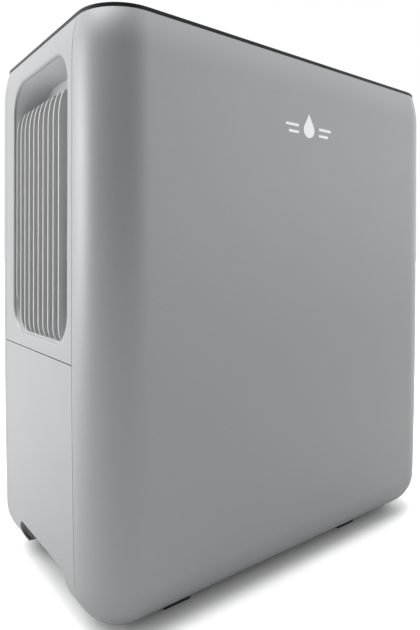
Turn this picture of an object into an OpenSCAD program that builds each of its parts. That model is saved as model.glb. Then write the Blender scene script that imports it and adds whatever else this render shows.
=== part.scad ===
// Compressor dehumidifier for the home: a satin cabinet with a slatted air intake and a
// pull-out water tank in one narrow side, and an outlet grille in the other.
// Origin: centre of the footprint, on the floor. +Z up, the wide front faces -Y,
// the intake and the tank face -X.

/* [Cabinet] */
// Width along the wide faces
body_w = 442; // [420:1:540]
// Depth from the front face to the back face
body_d = 258; // [250:1:320]
// Height above the feet
body_h = 495; // [475:1:600]
// Radius of the four upright corners
corner_r = 45; // [42:1:50]
// Radius with which the walls roll under the cabinet
under_r = 42; // [38:1:42]
// How far the walls lean in below the waist
low_taper = 4.1; // [0:0.1:5]
// How far the walls lean in at the top edge
top_taper = 5.7; // [0:0.1:6.5]
// Wall of every outer shell
wall = 3; // [2.4:0.1:3.5]
// Gap along the upright parting lines
parting_gap = 0.4; // [0.3:0.05:0.6]
// Height of the rubber feet
foot_h = 5; // [4:0.5:8]

/* [Side openings] */
// Floor to the seam between tank front and side panel
seam_z = 219; // [215:1:222]
// Height of the seam gap
seam_gap = 1; // [0.6:0.1:1.5]
// Seam up to the lower edge of the opening
open_seam_margin = 13; // [12:0.5:20]
// Opening up to the top of the cabinet
open_top_margin = 26.4; // [24:0.2:40]
// Front parting line to the opening
open_front_margin = 11; // [9:0.5:16]
// Back parting line to the opening
open_back_margin = 24; // [9:0.5:26]
// Corner radius of the opening
open_r = 27; // [20:1:32]
// Height of the hand recess above the slats
recess_h = 26; // [24:1:45]
// Depth of the hand recess behind the wall's outer face
recess_depth = 31; // [28:1:34]

/* [Grilles and filter] */
// Distance between slats
slat_pitch = 12.05; // [11:0.05:14]
// Thickness of a slat
slat_t = 2.4; // [2:0.1:3]
// Depth of a slat
slat_depth = 12.5; // [10:0.5:14]
// Slat's front edge behind the cabinet's face
slat_set_back = 2.5; // [1.5:0.1:3]
// Height over which a slat's top end curves in
slat_curve_h = 26; // [15:1:30]
// Distance by which a slat's top end curves in
slat_curve_in = 7; // [6:0.5:10]
// Clearance between a grille and its opening
grille_clear = 0.6; // [0.4:0.1:1]
// Thickness of the filter frame
filter_t = 6; // [4:0.5:7]

/* [Water tank] */
// Length of the tank body
tank_len = 168; // [140:1:175]
// Tank body's side to the parting line
tank_side_margin = 6; // [5:0.5:12]
// Wall of the tank body
tank_wall = 2; // [1.6:0.1:2.5]
// Floor to the underside of the tank body
tank_z = 54; // [52:0.5:58]
// Height of the tank body
tank_h = 150; // [120:1:151]
// Floor to the lower edge of the tank's front
front_bottom = 20; // [18:0.5:24]
// Height of the finger cut-out's flat top above the floor
arch_z = 46.5; // [44:0.5:50]
// Width of the finger cut-out
arch_w = 114; // [90:1:120]
// Radius of the cut-out's upper corners
arch_r = 11; // [8:0.5:16]
// Side of the filler opening in the tank's lid
filler_w = 56; // [40:1:60]
// How far the float swings up, in degrees
float_swing = 18; // [10:1:20]

/* [Top controls] */
// Thickness of the top panel's flange
top_t = 2.5; // [2:0.1:4]
// Width of the control fascia
fascia_w = 190; // [170:1:210]
// Depth of the control fascia
fascia_d = 44; // [40:1:50]
// Radius of a button
button_r = 7; // [6:0.5:8]
// Travel of a button
button_travel = 1; // [0.6:0.1:1.2]
// Clearance round a button
button_clear = 0.3; // [0.3:0.05:0.5]

/* [Fan and refrigeration] */
// Radius of the fan impeller
fan_r = 84; // [75:1:85]
// Number of fan blades
blade_count = 7; // [5:1:9]
// Radius of the fan shaft
shaft_r = 4; // [3:0.5:5]
// Running clearance of the shaft in its bearings
shaft_clear = 0.05; // [0.02:0.01:0.09]
// Radius of the compressor
compressor_r = 56; // [50:1:58]
// Height of the compressor's shell
compressor_h = 190; // [170:1:200]
// Distance between the coils' fins
fin_pitch = 6; // [5:0.5:8]
// Outer radius of the coils' tubes
coil_tube_r = 4.5; // [4:0.5:5]

/* [Hidden] */
$fn = 48;
eps = 0.01;

// Cabinet
half_w = body_w / 2;
half_d = body_d / 2;
flat_w = body_w - 2 * corner_r;
flat_d = body_d - 2 * corner_r;
top_z = foot_h + body_h;
shell_top = body_h - top_t;
taper_h = 272;
top_taper_h = 35;
hem_r = 10;
hem_angle = acos(1 - (corner_r - low_taper - hem_r) / under_r);
base_gap = 0.5;
badge_w = 64;
badge_t = 0.9;
badge_x = 2.5;
badge_z = 429;
drop_r = 7.6;
drop_tip = 15.5;

// Side openings
open_y0 = -flat_d / 2 + open_front_margin;
open_y1 = flat_d / 2 - open_back_margin;
open_w = open_y1 - open_y0;
open_y = (open_y0 + open_y1) / 2;
open_z0 = seam_z + seam_gap + open_seam_margin;
open_z1 = top_z - open_top_margin;
shelf_z = open_z1 - recess_h;
shelf_t = 2.4;
tub_wall = 2;
tub_x = half_w - recess_depth;
lap_w = 5;
lap_t = 2;
lap_gap = 0.45;
vane_near_gap = 21.7;
slat_edge = 1.7;
slat_count = 1 + floor((open_w - vane_near_gap - slat_edge) / slat_pitch);
slat_x0 = half_w - slat_set_back;
slat_x1 = slat_x0 - slat_depth;
grille_ring_t = 3;
grille_rim = 3;
filter_rim = 7;
filter_top = shelf_z - shelf_t - 0.4;

// Base, chassis and tank
plate_t = 3;
base_inset = corner_r - hem_r + wall * cos(hem_angle) + base_gap + 0.1;
base_r = corner_r - base_inset;
base_top = foot_h + plate_t;
base_y = half_d - base_inset;
base_x = half_w - base_inset;
base_rim_h = 4;
base_rim_t = 3;
boss_r = 5;
boss_y = base_y - base_rim_t - 0.8 - boss_r;
boss_x = base_x - 24;
boss_h = 20;
screw_r = 1.9;
fixed_fit = 0.02;
plug_clear = 0.06;
screw_clear = 0.3;
tank_front_gap = 7;
tank_x0 = -half_w + tank_front_gap;
tank_x1 = tank_x0 + tank_len;
tank_w = flat_d - 2 * tank_side_margin;
tank_top = tank_z + tank_h;
tank_gap = 0.5;
rib_t = 3;
rib_depth = 24;
ear_t = 3;
ear_gap = 28;
tank_r = 14;
lid_t = 2.4;
lid_fit = 0.3;
grip_h = 6;
bulkhead_x = tank_x1 + 4;
bulkhead_t = 2.5;
deck_z = seam_z - 3.5;
deck_t = 2.5;
deck_top = deck_z + deck_t;
deck_x0 = -half_w + 35;
deck_half = half_d - 29;
foot_left_x = -half_w + 94;
foot_right_x = half_w - 117.5;
foot_len = 33;
foot_chamfer = 3.5;
foot_w = 24;
foot_edge = 34.5;

// Float and its sensor
pin_r = 2;
pin_clear = 0.06;
magnet_r = 2.5;
pivot_x = tank_x1 - 14;
pivot_z = tank_top - 14;
float_d = 26;

// Drip tray, coils and fan
tray_x0 = -half_w + 37;
tray_x1 = tray_x0 + 86;
tray_y0 = open_y0 - 17;
tray_y1 = open_y1 + 18;
tray_h = 18;
tray_floor = deck_top + 2;
spout_x = tray_x1 - 22;
spout_r = 8;
coil_y0 = open_y0 - 6;
coil_y1 = open_y1 + 6;
coil_z1 = open_z1 - 42;
end_plate_t = 1.5;
evap_x0 = tray_x0 + 4;
evap_d = 26;
cond_x0 = tray_x0 + 40;
cond_d = 36;
fin_t = 0.6;
coil_passes = 6;
tube_step = (coil_z1 - tray_floor - 20) / (coil_passes - 1);
fan_x = tray_x1 + 4;
fan_z = tray_floor + 116;
fan_gap = 2;
shroud_t = 3;
shroud_len = 34;
shroud_top = fan_z + fan_r + fan_gap + 14;
bracket_t = 4;
motor_x = fan_x + shroud_len + bracket_t;
motor_r = 38;
motor_len = 48;
bearing_r = 9;
bearing_len = 10;
hub_r = 22;

// Refrigeration
comp_x = (bulkhead_x + half_w) / 2 - 19;
comp_y = 5;
comp_z = base_top + 26;
comp_foot_r = 62;
comp_top = comp_z + compressor_h;
compressor_wall = 4;
outlet_dx = -20;
outlet_dy = -15;
acc_r = 20;
acc_x = comp_x + compressor_r + acc_r + 10;
acc_y = comp_y + 25;
acc_z = 70;
acc_h = 120;
pipe_r = 4;
suction_y = half_d - wall - 31;
discharge_y = -half_d + wall + 24;
suction_z = tray_floor + 30;
discharge_z = comp_top + 36;
pipe_bend = 14;
drier_z0 = tray_floor + 100;
drier_h = 60;
capillary_r = 1.6;
coil_loop_r = 13;
coil_loops = 4;
loop_pitch = 4;
cond_x = cond_x0 + cond_d / 2;
evap_x = evap_x0 + evap_d / 2;

// Electronics and top
box_x0 = tray_x1 + 108;
box_w = 140;
box_d = 106;
box_h = 33;
box_z = shelf_z - 16;
box_wall = 2;
fascia_y = -half_d + 17 + fascia_d / 2;
fascia_t = 3.4;
fascia_top = top_z - 0.6;
fascia_gap = 0.3;
ledge = 4;
pocket_wall = 3;
top_inset = lean(shell_top);
top_edge = 1.2;
skirt_depth = wall + lap_gap + lap_t + 0.4;
board_z = top_z - 18;
board_t = 1.6;
board_w = fascia_w + 5;
board_d = fascia_d - 4;
lens_w = 62;
lens_d = 24;
button_flange = 1.5;
button_z = board_z + 8;
button_xs = [-80, -60, -40, 50, 72];
cap_r = 13.5;
spigot_r = 7;
spigot_bore = 5;
spigot_z = deck_top + 10;
spigot_x = tray_x0 + 40;
gland_x = half_w - 71;
gland_z = 60;
gland_r = 8;

// How far the outer face stands in from the widest outline, at height z above the feet
function lean(z) =
    (z < taper_h ? low_taper * pow(1 - z / taper_h, 2) : 0)
    + (z > body_h - top_taper_h
        ? top_taper * pow((z - body_h + top_taper_h) / top_taper_h, 2) : 0);
// Radius of the rounded hem's layer that lies depth mm inside the outer face
function hem(depth, a) = [
    corner_r - lean(under_r * (1 - sin(a))) - under_r + (under_r - depth) * cos(a),
    under_r - (under_r - depth) * sin(a)
];
// Layer of the upright wall, depth mm inside the outer face
function upright(depth) = concat(
    [for (a = [hem_angle : -hem_angle / 14 : eps]) hem(depth, a)],
    [for (i = [0 : 5]) let (z = under_r + (taper_h - under_r) * i / 5)
        [corner_r - depth - lean(z), z]],
    [for (i = [0 : 5]) let (z = body_h - top_taper_h + (top_taper_h - top_t) * i / 5)
        [corner_r - depth - lean(z), z]]
);
function reversed(list) = [for (i = [len(list) - 1 : -1 : 0]) list[i]];
// Closed section of a wall between two depths
function section(depth0, depth1) = concat(upright(depth0), reversed(upright(depth1)));
// Distance of the hem's inner face from the cabinet's side, at height z above the feet
function hem_inset(z) =
    under_r - sqrt(pow(under_r - wall / 2, 2) - pow(under_r - z, 2)) + lean(z);

function unit(v) = v / norm(v);
// Replaces each square corner of a route by an arc of radius r
function rounded(p, r, n = 5) = concat(
    [p[0]],
    [for (i = [1 : len(p) - 2]) let (u = unit(p[i] - p[i - 1]), v = unit(p[i + 1] - p[i]))
        for (k = [0 : n]) p[i] + r * (v - u) - r * cos(90 * k / n) * v
            + r * sin(90 * k / n) * u],
    [p[len(p) - 1]]
);

// A round tube swept along a list of points
module swept_tube(p, r, sides = 10) {
    last = len(p) - 1;
    t = [for (i = [0 : last]) unit(p[min(i + 1, last)] - p[max(i - 1, 0)])];
    first = unit(cross(t[0], abs(t[0][2]) < 0.9 ? [0, 0, 1] : [1, 0, 0]));
    n = [for (i = 0, m = first; i <= last;
              i = i + 1, m = i <= last ? unit(m - t[i] * (t[i] * m)) : m) m];
    points = [for (i = [0 : last], k = [0 : sides - 1]) let (a = 360 * k / sides)
        p[i] + r * (cos(a) * n[i] + sin(a) * cross(t[i], n[i]))];
    skin = [for (i = [0 : last - 1], k = [0 : sides - 1]) let (j = (k + 1) % sides)
        [i * sides + k, (i + 1) * sides + k, (i + 1) * sides + j, i * sides + j]];
    polyhedron(points, concat(
        skin, [[for (k = [0 : sides - 1]) k]],
        [[for (k = [sides - 1 : -1 : 0]) last * sides + k]]
    ));
}

// Rectangle with round corners, centred
module round_rect(w, d, r) {
    square([w - 2 * r, d], center = true);
    square([w, d - 2 * r], center = true);
    for (x = [-1, 1], y = [-1, 1])
        translate([x * (w / 2 - r), y * (d / 2 - r)]) circle(r);
}

module round_plate(w, d, r, z, h) {
    translate([0, 0, z]) linear_extrude(h) round_rect(w, d, r);
}

// Lays a shape's own z axis along +X
module along_x(x, y, z) {
    translate([x, y, z]) rotate([0, 90, 0]) children();
}

// Lays a shape's own z axis along +Y
module along_y(x, y, z) {
    translate([x, y, z]) rotate([-90, 0, 0]) children();
}

module box_between(a, b) {
    translate(a) cube(b - a);
}

// One upright corner of the cabinet, quadrant k counted from +X +Y
module corner(k, depth0, depth1) {
    x = k == 0 || k == 3 ? 1 : -1;
    y = k < 2 ? 1 : -1;
    translate([x * flat_w / 2, y * flat_d / 2, foot_h])
        rotate([0, 0, 90 * k]) rotate_extrude(angle = 90)
            polygon(section(depth0, depth1));
}

// One straight side, k = 0 to 3 for +X, +Y, -X, -Y; length is measured along the side
module side(k, depth0, depth1, length, shift = 0) {
    reach = (k % 2 == 0 ? body_w : body_d) / 2 - corner_r;
    rotate([0, 0, 90 * k]) translate([reach, shift, foot_h])
        rotate([90, 0, 0]) linear_extrude(length, center = true)
            polygon(section(depth0, depth1));
}

// Half of the cabinet's wrap: a wide side with its two corners, and what it is screwed by
module wide_shell(k) {
    y = k == 1 ? 1 : -1;
    side(k, 0, wall, flat_w);
    corner(k, 0, wall);
    corner(k - 1, 0, wall);
    for (x = [-1, 1]) {
        translate([x * boss_x, y * boss_y, base_top + 0.2]) difference() {
            cylinder(r = boss_r, h = boss_h);
            translate([0, 0, -eps]) cylinder(r = screw_r + fixed_fit, h = boss_h - 4);
        }
        translate([x * boss_x, 0, 0]) boss_rib(y);
    }
    box_between([deck_x0 + 36, y > 0 ? deck_half - 1 : -half_d + wall - 0.5, deck_z - 4],
                [deck_x0 + 76, y > 0 ? half_d - wall + 0.5 : -deck_half + 1, deck_z]);
}

// Rib that ties a screw boss to the rounded hem
module boss_rib(y) {
    z0 = base_rim_h + plate_t + 1.2;
    z1 = boss_h + plate_t;
    start = boss_y + boss_r - 1;
    rotate([90, 0, 90]) translate([0, foot_h, -rib_t / 2]) linear_extrude(rib_t)
        polygon(concat(
            [[y * start, z1], [y * start, z0]],
            [for (i = [0 : 4]) let (z = z0 + (z1 - z0) * i / 4)
                [y * (half_d - hem_inset(z)), z]]
        ));
}

module front_shell() {
    color([0.72, 0.73, 0.75]) difference() {
        wide_shell(3);
        badge_shape(0.1, badge_t + 0.1);
    }
}

module back_shell() {
    color([0.72, 0.73, 0.75]) difference() {
        wide_shell(1);
        along_y(spigot_x, half_d - wall - 2, spigot_z) cylinder(r = cap_r + 0.5, h = wall + 4);
        along_y(gland_x, half_d - 12, gland_z) cylinder(r = gland_r, h = 14);
    }
}

// Generic mark: a drop between two pairs of bars
module badge_outline(grow) {
    tip = drop_tip + grow;
    r = drop_r + grow;
    reach = r * r / tip;
    circle(r);
    polygon([[0, tip], [-r * sqrt(1 - pow(r / tip, 2)), reach],
             [r * sqrt(1 - pow(r / tip, 2)), reach]]);
    for (x = [-1, 1], i = [0, 1])
        translate([x * (badge_w / 2 - 9 - 2 * i), 2.6 - 6.4 * i])
            round_rect(18 - 4 * i + 2 * grow, 2.6 + 2 * grow, 1.3 + grow - eps);
}
module badge_shape(grow, depth) {
    translate([badge_x, -half_d + depth, badge_z]) rotate([90, 0, 0])
        linear_extrude(depth + (grow > 0 ? 1 : 0)) badge_outline(grow);
}
module badge() {
    color([0.96, 0.96, 0.96]) badge_shape(0, badge_t);
}

// Outline of a side opening, grown by g, as a prism from x0 to x1 on side s
module opening_prism(s, g, x0, x1) {
    h = open_z1 - open_z0;
    translate([s > 0 ? x0 : -x1, open_y, open_z0 + h / 2])
        rotate([90, 0, 90]) linear_extrude(x1 - x0)
            round_rect(open_w + 2 * g, h + 2 * g, open_r + g);
}

// Upper side panel on side s, with its opening, hand recess and the laps behind the shells
module side_panel(s, low) {
    difference() {
        union() {
            side(s > 0 ? 0 : 2, 0, wall, flat_d - 2 * parting_gap);
            for (e = [-1, 1]) {
                side(s > 0 ? 0 : 2, wall - 0.5, wall + lap_gap + lap_t, lap_w,
                     e * (flat_d / 2 - lap_w - 1));
                side(s > 0 ? 0 : 2, wall + lap_gap, wall + lap_gap + lap_t, 2 * lap_w,
                     e * flat_d / 2);
            }
            opening_prism(s, tub_wall, tub_x - tub_wall, half_w - wall + 0.5);
        }
        opening_prism(s, 0, tub_x, half_w + 1);
        opening_lower_cut(s);
        box_between([s > 0 ? 0 : -half_w - 1, -half_d, -1], [s > 0 ? half_w + 1 : 0, half_d, low]);
        side_foot_cut(s, low);
    }
}
// Opens the tub's back below the hand recess, inside its rounded lower corners
module opening_lower_cut(s) {
    intersection() {
        opening_prism(s, 0, tub_x - 5, tub_x + 1);
        box_between([s > 0 ? 0 : -half_w, open_y0 - 1, open_z0 - 1],
                    [s > 0 ? half_w : 0, open_y1 + 1, shelf_z - shelf_t]);
    }
}
// Keeps a full-height panel's laps above the base plate
module side_foot_cut(s, low) {
    if (low < foot_h)
        box_between([s > 0 ? base_x - 2 : -half_w, -half_d, -1],
                    [s > 0 ? base_x + base_gap : -base_x + 2, half_d, base_top + base_rim_h + 1]);
}
module left_panel() {
    color([0.80, 0.80, 0.82]) side_panel(-1, seam_z + seam_gap);
}
module right_panel() {
    color([0.80, 0.80, 0.82]) side_panel(1, 0);
}

// Removable grille on side s: slats with curved top ends, back ring, cross bars and shelf
module grille(s) {
    top = shelf_z;
    clear = s > 0 ? 0 : grille_clear;
    curve = [for (a = [0 : 11.25 : 90])
        [slat_x0 - slat_curve_in * (1 - cos(a)), top - slat_curve_h * (1 - sin(a))]];
    outline = concat([[slat_x1, open_z0], [slat_x0, open_z0]], curve, [[slat_x1, top]]);
    intersection() {
        opening_prism(s, -clear, tub_x + clear, slat_x0 + 1);
        union() {
            for (i = [0 : slat_count - 1])
                translate([0, open_y1 - slat_edge - i * slat_pitch + slat_t / 2, 0])
                    rotate([90, 0, 0]) linear_extrude(slat_t)
                        polygon([for (p = outline) [s * p[0], p[1]]]);
            difference() {
                opening_prism(s, 0, slat_x1, slat_x1 + grille_ring_t);
                opening_prism(s, -clear - grille_rim, slat_x1 - 1,
                              slat_x1 + grille_ring_t + 1);
            }
            for (z = [open_z0 + 70, open_z0 + 140])
                box_between([s > 0 ? slat_x1 : -slat_x1 - grille_ring_t, open_y0, z],
                            [s > 0 ? slat_x1 + grille_ring_t : -slat_x1, open_y1, z + 4]);
            box_between([s > 0 ? tub_x : -slat_x0 + slat_curve_in, open_y0, top - shelf_t],
                        [s > 0 ? slat_x0 - slat_curve_in : -tub_x, open_y1, top]);
        }
        box_between([-half_w, -half_d, 0], [half_w, half_d, top]);
    }
}
module intake_grille() {
    color([0.78, 0.79, 0.81]) grille(-1);
}
module outlet_grille() {
    color([0.78, 0.79, 0.81]) grille(1);
}

// The filter's open area, grown by grow
module filter_window(grow) {
    intersection() {
        opening_prism(-1, -grille_clear - 1 - filter_rim + grow, slat_x1 - filter_t - 1, slat_x1 + 1);
        box_between([-half_w, -half_d, 0], [0, half_d, filter_top - filter_rim + grow]);
    }
}
module filter_frame() {
    color([0.30, 0.32, 0.35]) {
        difference() {
            intersection() {
                opening_prism(-1, -grille_clear - 1, slat_x1 - filter_t, slat_x1);
                box_between([-half_w, -half_d, 0], [0, half_d, filter_top]);
            }
            filter_window(0);
        }
        for (i = [1 : 3])
            box_between([-slat_x1, open_y0 + 5, open_z0 + i * 50 - 2],
                        [-slat_x1 + 2, open_y1 - 5, open_z0 + i * 50]);
    }
}
module filter_mesh() {
    color([0.15, 0.16, 0.18]) intersection() {
        filter_window(0);
        box_between([-slat_x1 + 2, -half_d, 0], [-slat_x1 + 2.8, half_d, top_z]);
    }
}

// Base plate with its rim, tank rails and bushes for the compressor
module base_pan() {
    rail_w = 4;
    color([0.20, 0.21, 0.23]) difference() {
        union() {
            round_plate(2 * base_x, 2 * base_y, base_r, foot_h, plate_t);
            difference() {
                round_plate(2 * base_x, 2 * base_y, base_r, base_top - eps, base_rim_h);
                round_plate(2 * (base_x - base_rim_t), 2 * (base_y - base_rim_t),
                            base_r - base_rim_t, base_top - 1, base_rim_h + 2);
            }
            for (y = [-1, 1])
                box_between([-base_x + 8, y * (tank_w / 2 - 12) - rail_w / 2, base_top - eps],
                            [bulkhead_x - 6, y * (tank_w / 2 - 12) + rail_w / 2, tank_z - tank_gap]);
            translate([0, 0, base_top - eps]) at_compressor_feet() cylinder(r = 8, h = 4);
        }
        at_feet() translate([0, 0, foot_h - 1]) cylinder(r = 3.15, h = plate_t + 2);
        translate([0, 0, foot_h - 1]) at_compressor_feet() cylinder(r = 3.1, h = 10);
        at_shell_screws() {
            translate([0, 0, foot_h - 1]) cylinder(r = screw_r + screw_clear, h = plate_t + 2);
            translate([0, 0, foot_h - 1]) cylinder(r = 4.2, h = 2.8);
        }
        at_bulkhead_screws() translate([0, 0, foot_h - 1]) cylinder(r = screw_r + fixed_fit, h = 5);
    }
}

module at_feet() {
    for (x = [foot_left_x, foot_right_x], y = [-1, 1])
        translate([x, y * (half_d - foot_edge - foot_w / 2), 0]) children();
}
module feet() {
    color([0.06, 0.06, 0.06]) at_feet() {
        translate([0, foot_w / 2, 0]) rotate([90, 0, 0]) linear_extrude(foot_w)
            polygon([[-foot_len / 2 + foot_chamfer, 0], [foot_len / 2 - foot_chamfer, 0],
                     [foot_len / 2, foot_h], [-foot_len / 2, foot_h]]);
        translate([0, 0, foot_h - eps]) cylinder(r = 3, h = plate_t + 1);
    }
}

module at_shell_screws() {
    for (x = [-1, 1], y = [-1, 1]) translate([x * boss_x, y * boss_y, 0]) children();
}
module shell_screws() {
    color([0.55, 0.55, 0.57]) at_shell_screws() {
        translate([0, 0, foot_h]) cylinder(r = 3.8, h = 1.6);
        translate([0, 0, foot_h + 1.5]) cylinder(r = screw_r, h = 14);
    }
}

// Deck over the tank and bulkhead behind it, one moulding
module at_bulkhead_screws() {
    for (y = [-1, 1]) translate([bulkhead_x + bulkhead_t + 8, y * 60, 0]) children();
}
module at_deck_screws() {
    for (y = [-1, 1]) translate([fan_x + shroud_t + 8, open_y + y * 62, 0]) children();
}
module chassis() {
    color([0.75, 0.76, 0.78]) difference() {
        union() {
            box_between([bulkhead_x, -deck_half, base_top + base_rim_h + 2],
                        [bulkhead_x + bulkhead_t, deck_half, deck_top]);
            box_between([bulkhead_x, -base_y + 6, base_top],
                        [bulkhead_x + bulkhead_t, base_y - 6, base_top + base_rim_h + 3]);
            box_between([deck_x0, -deck_half, deck_z], [bulkhead_x + 1, deck_half, deck_top]);
            box_between([bulkhead_x + 1, -base_y + 6, base_top],
                        [bulkhead_x + bulkhead_t + 14, base_y - 6, base_top + 2.5]);
        }
        translate([spout_x, open_y, deck_z - 1]) cylinder(r = spout_r + 0.5, h = deck_t + 2);
        at_bulkhead_screws() translate([0, 0, base_top - 1]) cylinder(r = screw_r + screw_clear, h = 5);
        at_deck_screws() translate([0, 0, deck_z - 1]) cylinder(r = screw_r + fixed_fit, h = deck_t + 2);
    }
}
module chassis_screws() {
    color([0.55, 0.55, 0.57]) {
        at_bulkhead_screws() {
            translate([0, 0, base_top + 2.5]) cylinder(r = 3.8, h = 2);
            translate([0, 0, foot_h + 0.5]) cylinder(r = screw_r, h = plate_t + 2.5);
        }
        at_deck_screws() {
            translate([0, 0, deck_top + 2.5]) cylinder(r = 3.8, h = 2);
            translate([0, 0, deck_z + 0.3]) cylinder(r = screw_r, h = deck_t + 2.7);
        }
    }
}

// Permanent drain: a spigot on the tray, closed by a plug that pulls straight out
module drain_spigot() {
    color([0.85, 0.85, 0.86]) difference() {
        union() {
            along_y(spigot_x, tray_y1, spigot_z) cylinder(r = spigot_r, h = half_d - 5 - tray_y1);
            along_y(spigot_x, tray_y1, spigot_z) cylinder(r = spigot_r + 2, h = 3);
        }
        along_y(spigot_x, tray_y1 - 1, spigot_z) cylinder(r = spigot_bore, h = half_d);
    }
}
module drain_cap() {
    color([0.35, 0.36, 0.38]) {
        along_y(spigot_x, half_d - 4.5, spigot_z) cylinder(r = cap_r, h = 3);
        along_y(spigot_x, half_d - 16, spigot_z) cylinder(r = spigot_bore - plug_clear, h = 12);
        box_between([spigot_x - 1.5, half_d - 2, spigot_z - 9], [spigot_x + 1.5, half_d, spigot_z + 9]);
    }
}
module cord_gland() {
    face = half_d - lean(gland_z - foot_h);
    color([0.10, 0.10, 0.11]) difference() {
        union() {
            along_y(gland_x, face - 16, gland_z) cylinder(r = gland_r, h = 17);
            along_y(gland_x, face + 0.5, gland_z) cylinder(r = 11, h = 1.6);
            along_y(gland_x, face - 9, gland_z) cylinder(r = 11, h = 4);
        }
        along_y(gland_x, face - 17, gland_z) cylinder(r = 3.6, h = 20);
    }
}

// Top panel: a dark flange over the shells, a locating skirt and the fascia's pocket
module fascia_block(grow, z0, z1) {
    translate([0, fascia_y, 0])
        round_plate(fascia_w + 2 * grow, fascia_d + 2 * grow, 6 + grow, z0, z1 - z0);
}
module at_board_posts() {
    for (x = [-1, 1], y = [-1, 1])
        translate([x * (fascia_w / 2 - 0.5), fascia_y + y * (board_d / 2 - 3), 0]) children();
}
module top_panel() {
    w = body_w - 2 * top_inset;
    d = body_d - 2 * top_inset;
    r = corner_r - top_inset;
    skirt_in = top_inset + skirt_depth;
    color([0.16, 0.17, 0.20]) difference() {
        union() {
            round_plate(w, d, r, top_z - top_t, top_t - top_edge);
            round_plate(w - top_edge, d - top_edge, r - top_edge / 2,
                        top_z - top_edge - eps, top_edge / 2 + eps);
            round_plate(w - 3 * top_edge, d - 3 * top_edge, r - 1.5 * top_edge,
                        top_z - top_edge / 2 - eps, top_edge / 2 + eps);
            difference() {
                round_plate(body_w - 2 * skirt_in, body_d - 2 * skirt_in, corner_r - skirt_in,
                            top_z - top_t - 7, 7 + eps);
                round_plate(body_w - 2 * skirt_in - 4, body_d - 2 * skirt_in - 4,
                            corner_r - skirt_in - 2, top_z - top_t - 8, 9);
            }
            fascia_block(pocket_wall, fascia_top - fascia_t - 2, top_z - top_t + 1);
            at_board_posts() translate([0, 0, board_z + board_t])
                cylinder(r = 3, h = fascia_top - fascia_t - 1.5 - board_z - board_t);
        }
        fascia_block(fascia_gap, fascia_top - fascia_t, top_z + 1);
        fascia_block(-ledge, fascia_top - fascia_t - 3, top_z);
    }
}

module at_buttons() {
    for (x = button_xs) translate([x, fascia_y, 0]) children();
}
module control_fascia() {
    color([0.03, 0.03, 0.04]) difference() {
        fascia_block(0, fascia_top - fascia_t, fascia_top);
        at_buttons() translate([0, 0, fascia_top - fascia_t - 1])
            cylinder(r = button_r + button_clear, h = fascia_t + 2);
        translate([0, fascia_y, 0])
            round_plate(lens_w + 0.4, lens_d + 0.4, 3, fascia_top - 2, 3);
        translate([0, fascia_y, 0])
            round_plate(lens_w - 6, lens_d - 6, 2, fascia_top - fascia_t - 1, fascia_t + 2);
    }
}
module display_lens() {
    color([0.05, 0.07, 0.09]) translate([0, fascia_y, 0])
        round_plate(lens_w, lens_d, 2.8, fascia_top - 2, 2);
}
module display_board() {
    color([0.05, 0.30, 0.14]) {
        translate([0, fascia_y, 0]) difference() {
            round_plate(board_w, board_d, 3, board_z, board_t);
            for (x = [-1, 1]) translate([x * 93, 0, board_z - 1]) cylinder(r = 1.6, h = 4);
        }
        box_between([-lens_w / 2 + 5, fascia_y - lens_d / 2 + 5, board_z + board_t - eps],
                    [lens_w / 2 - 5, fascia_y + lens_d / 2 - 5, fascia_top - fascia_t]);
    }
}
module tactile_switches() {
    color([0.08, 0.08, 0.08]) at_buttons() {
        translate([-3, -3, board_z + board_t]) cube([6, 6, 3.4]);
        translate([0, 0, board_z + board_t + 3.4 - eps])
            cylinder(r = 1.7, h = button_z - button_travel - 0.05 - board_z - board_t - 3.4);
    }
}
module button(i) {
    color([0.55, 0.57, 0.60]) translate([button_xs[i], fascia_y, 0]) {
        translate([0, 0, button_z]) cylinder(r = button_r, h = fascia_top + 0.4 - button_z);
        translate([0, 0, button_z])
            cylinder(r = button_r + button_flange,
                     h = fascia_top - fascia_t - 0.4 - button_z);
    }
}
module power_button() { button(0); }
module mode_button() { button(1); }
module fan_button() { button(2); }
module humidity_up_button() { button(3); }
module humidity_down_button() { button(4); }

// Tank body: an open box with rounded upright corners and ears for the float's pin
module tank_body() {
    color([0.80, 0.86, 0.92, 0.6]) {
        translate([(tank_x0 + tank_x1) / 2, 0, 0]) difference() {
            round_plate(tank_len, tank_w, tank_r, tank_z, tank_h);
            round_plate(tank_len - 2 * tank_wall, tank_w - 2 * tank_wall, tank_r - tank_wall,
                        tank_z + tank_wall, tank_h);
        }
        for (y = [-1, 1]) difference() {
            box_between([pivot_x - 6, y > 0 ? ear_gap / 2 : -ear_gap / 2 - ear_t, pivot_z - 7],
                        [tank_x1 - tank_wall + 0.5, y > 0 ? ear_gap / 2 + ear_t : -ear_gap / 2,
                         pivot_z + 7]);
            along_y(pivot_x, -ear_gap, pivot_z) cylinder(r = pin_r + fixed_fit, h = 2 * ear_gap);
        }
    }
}
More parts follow.
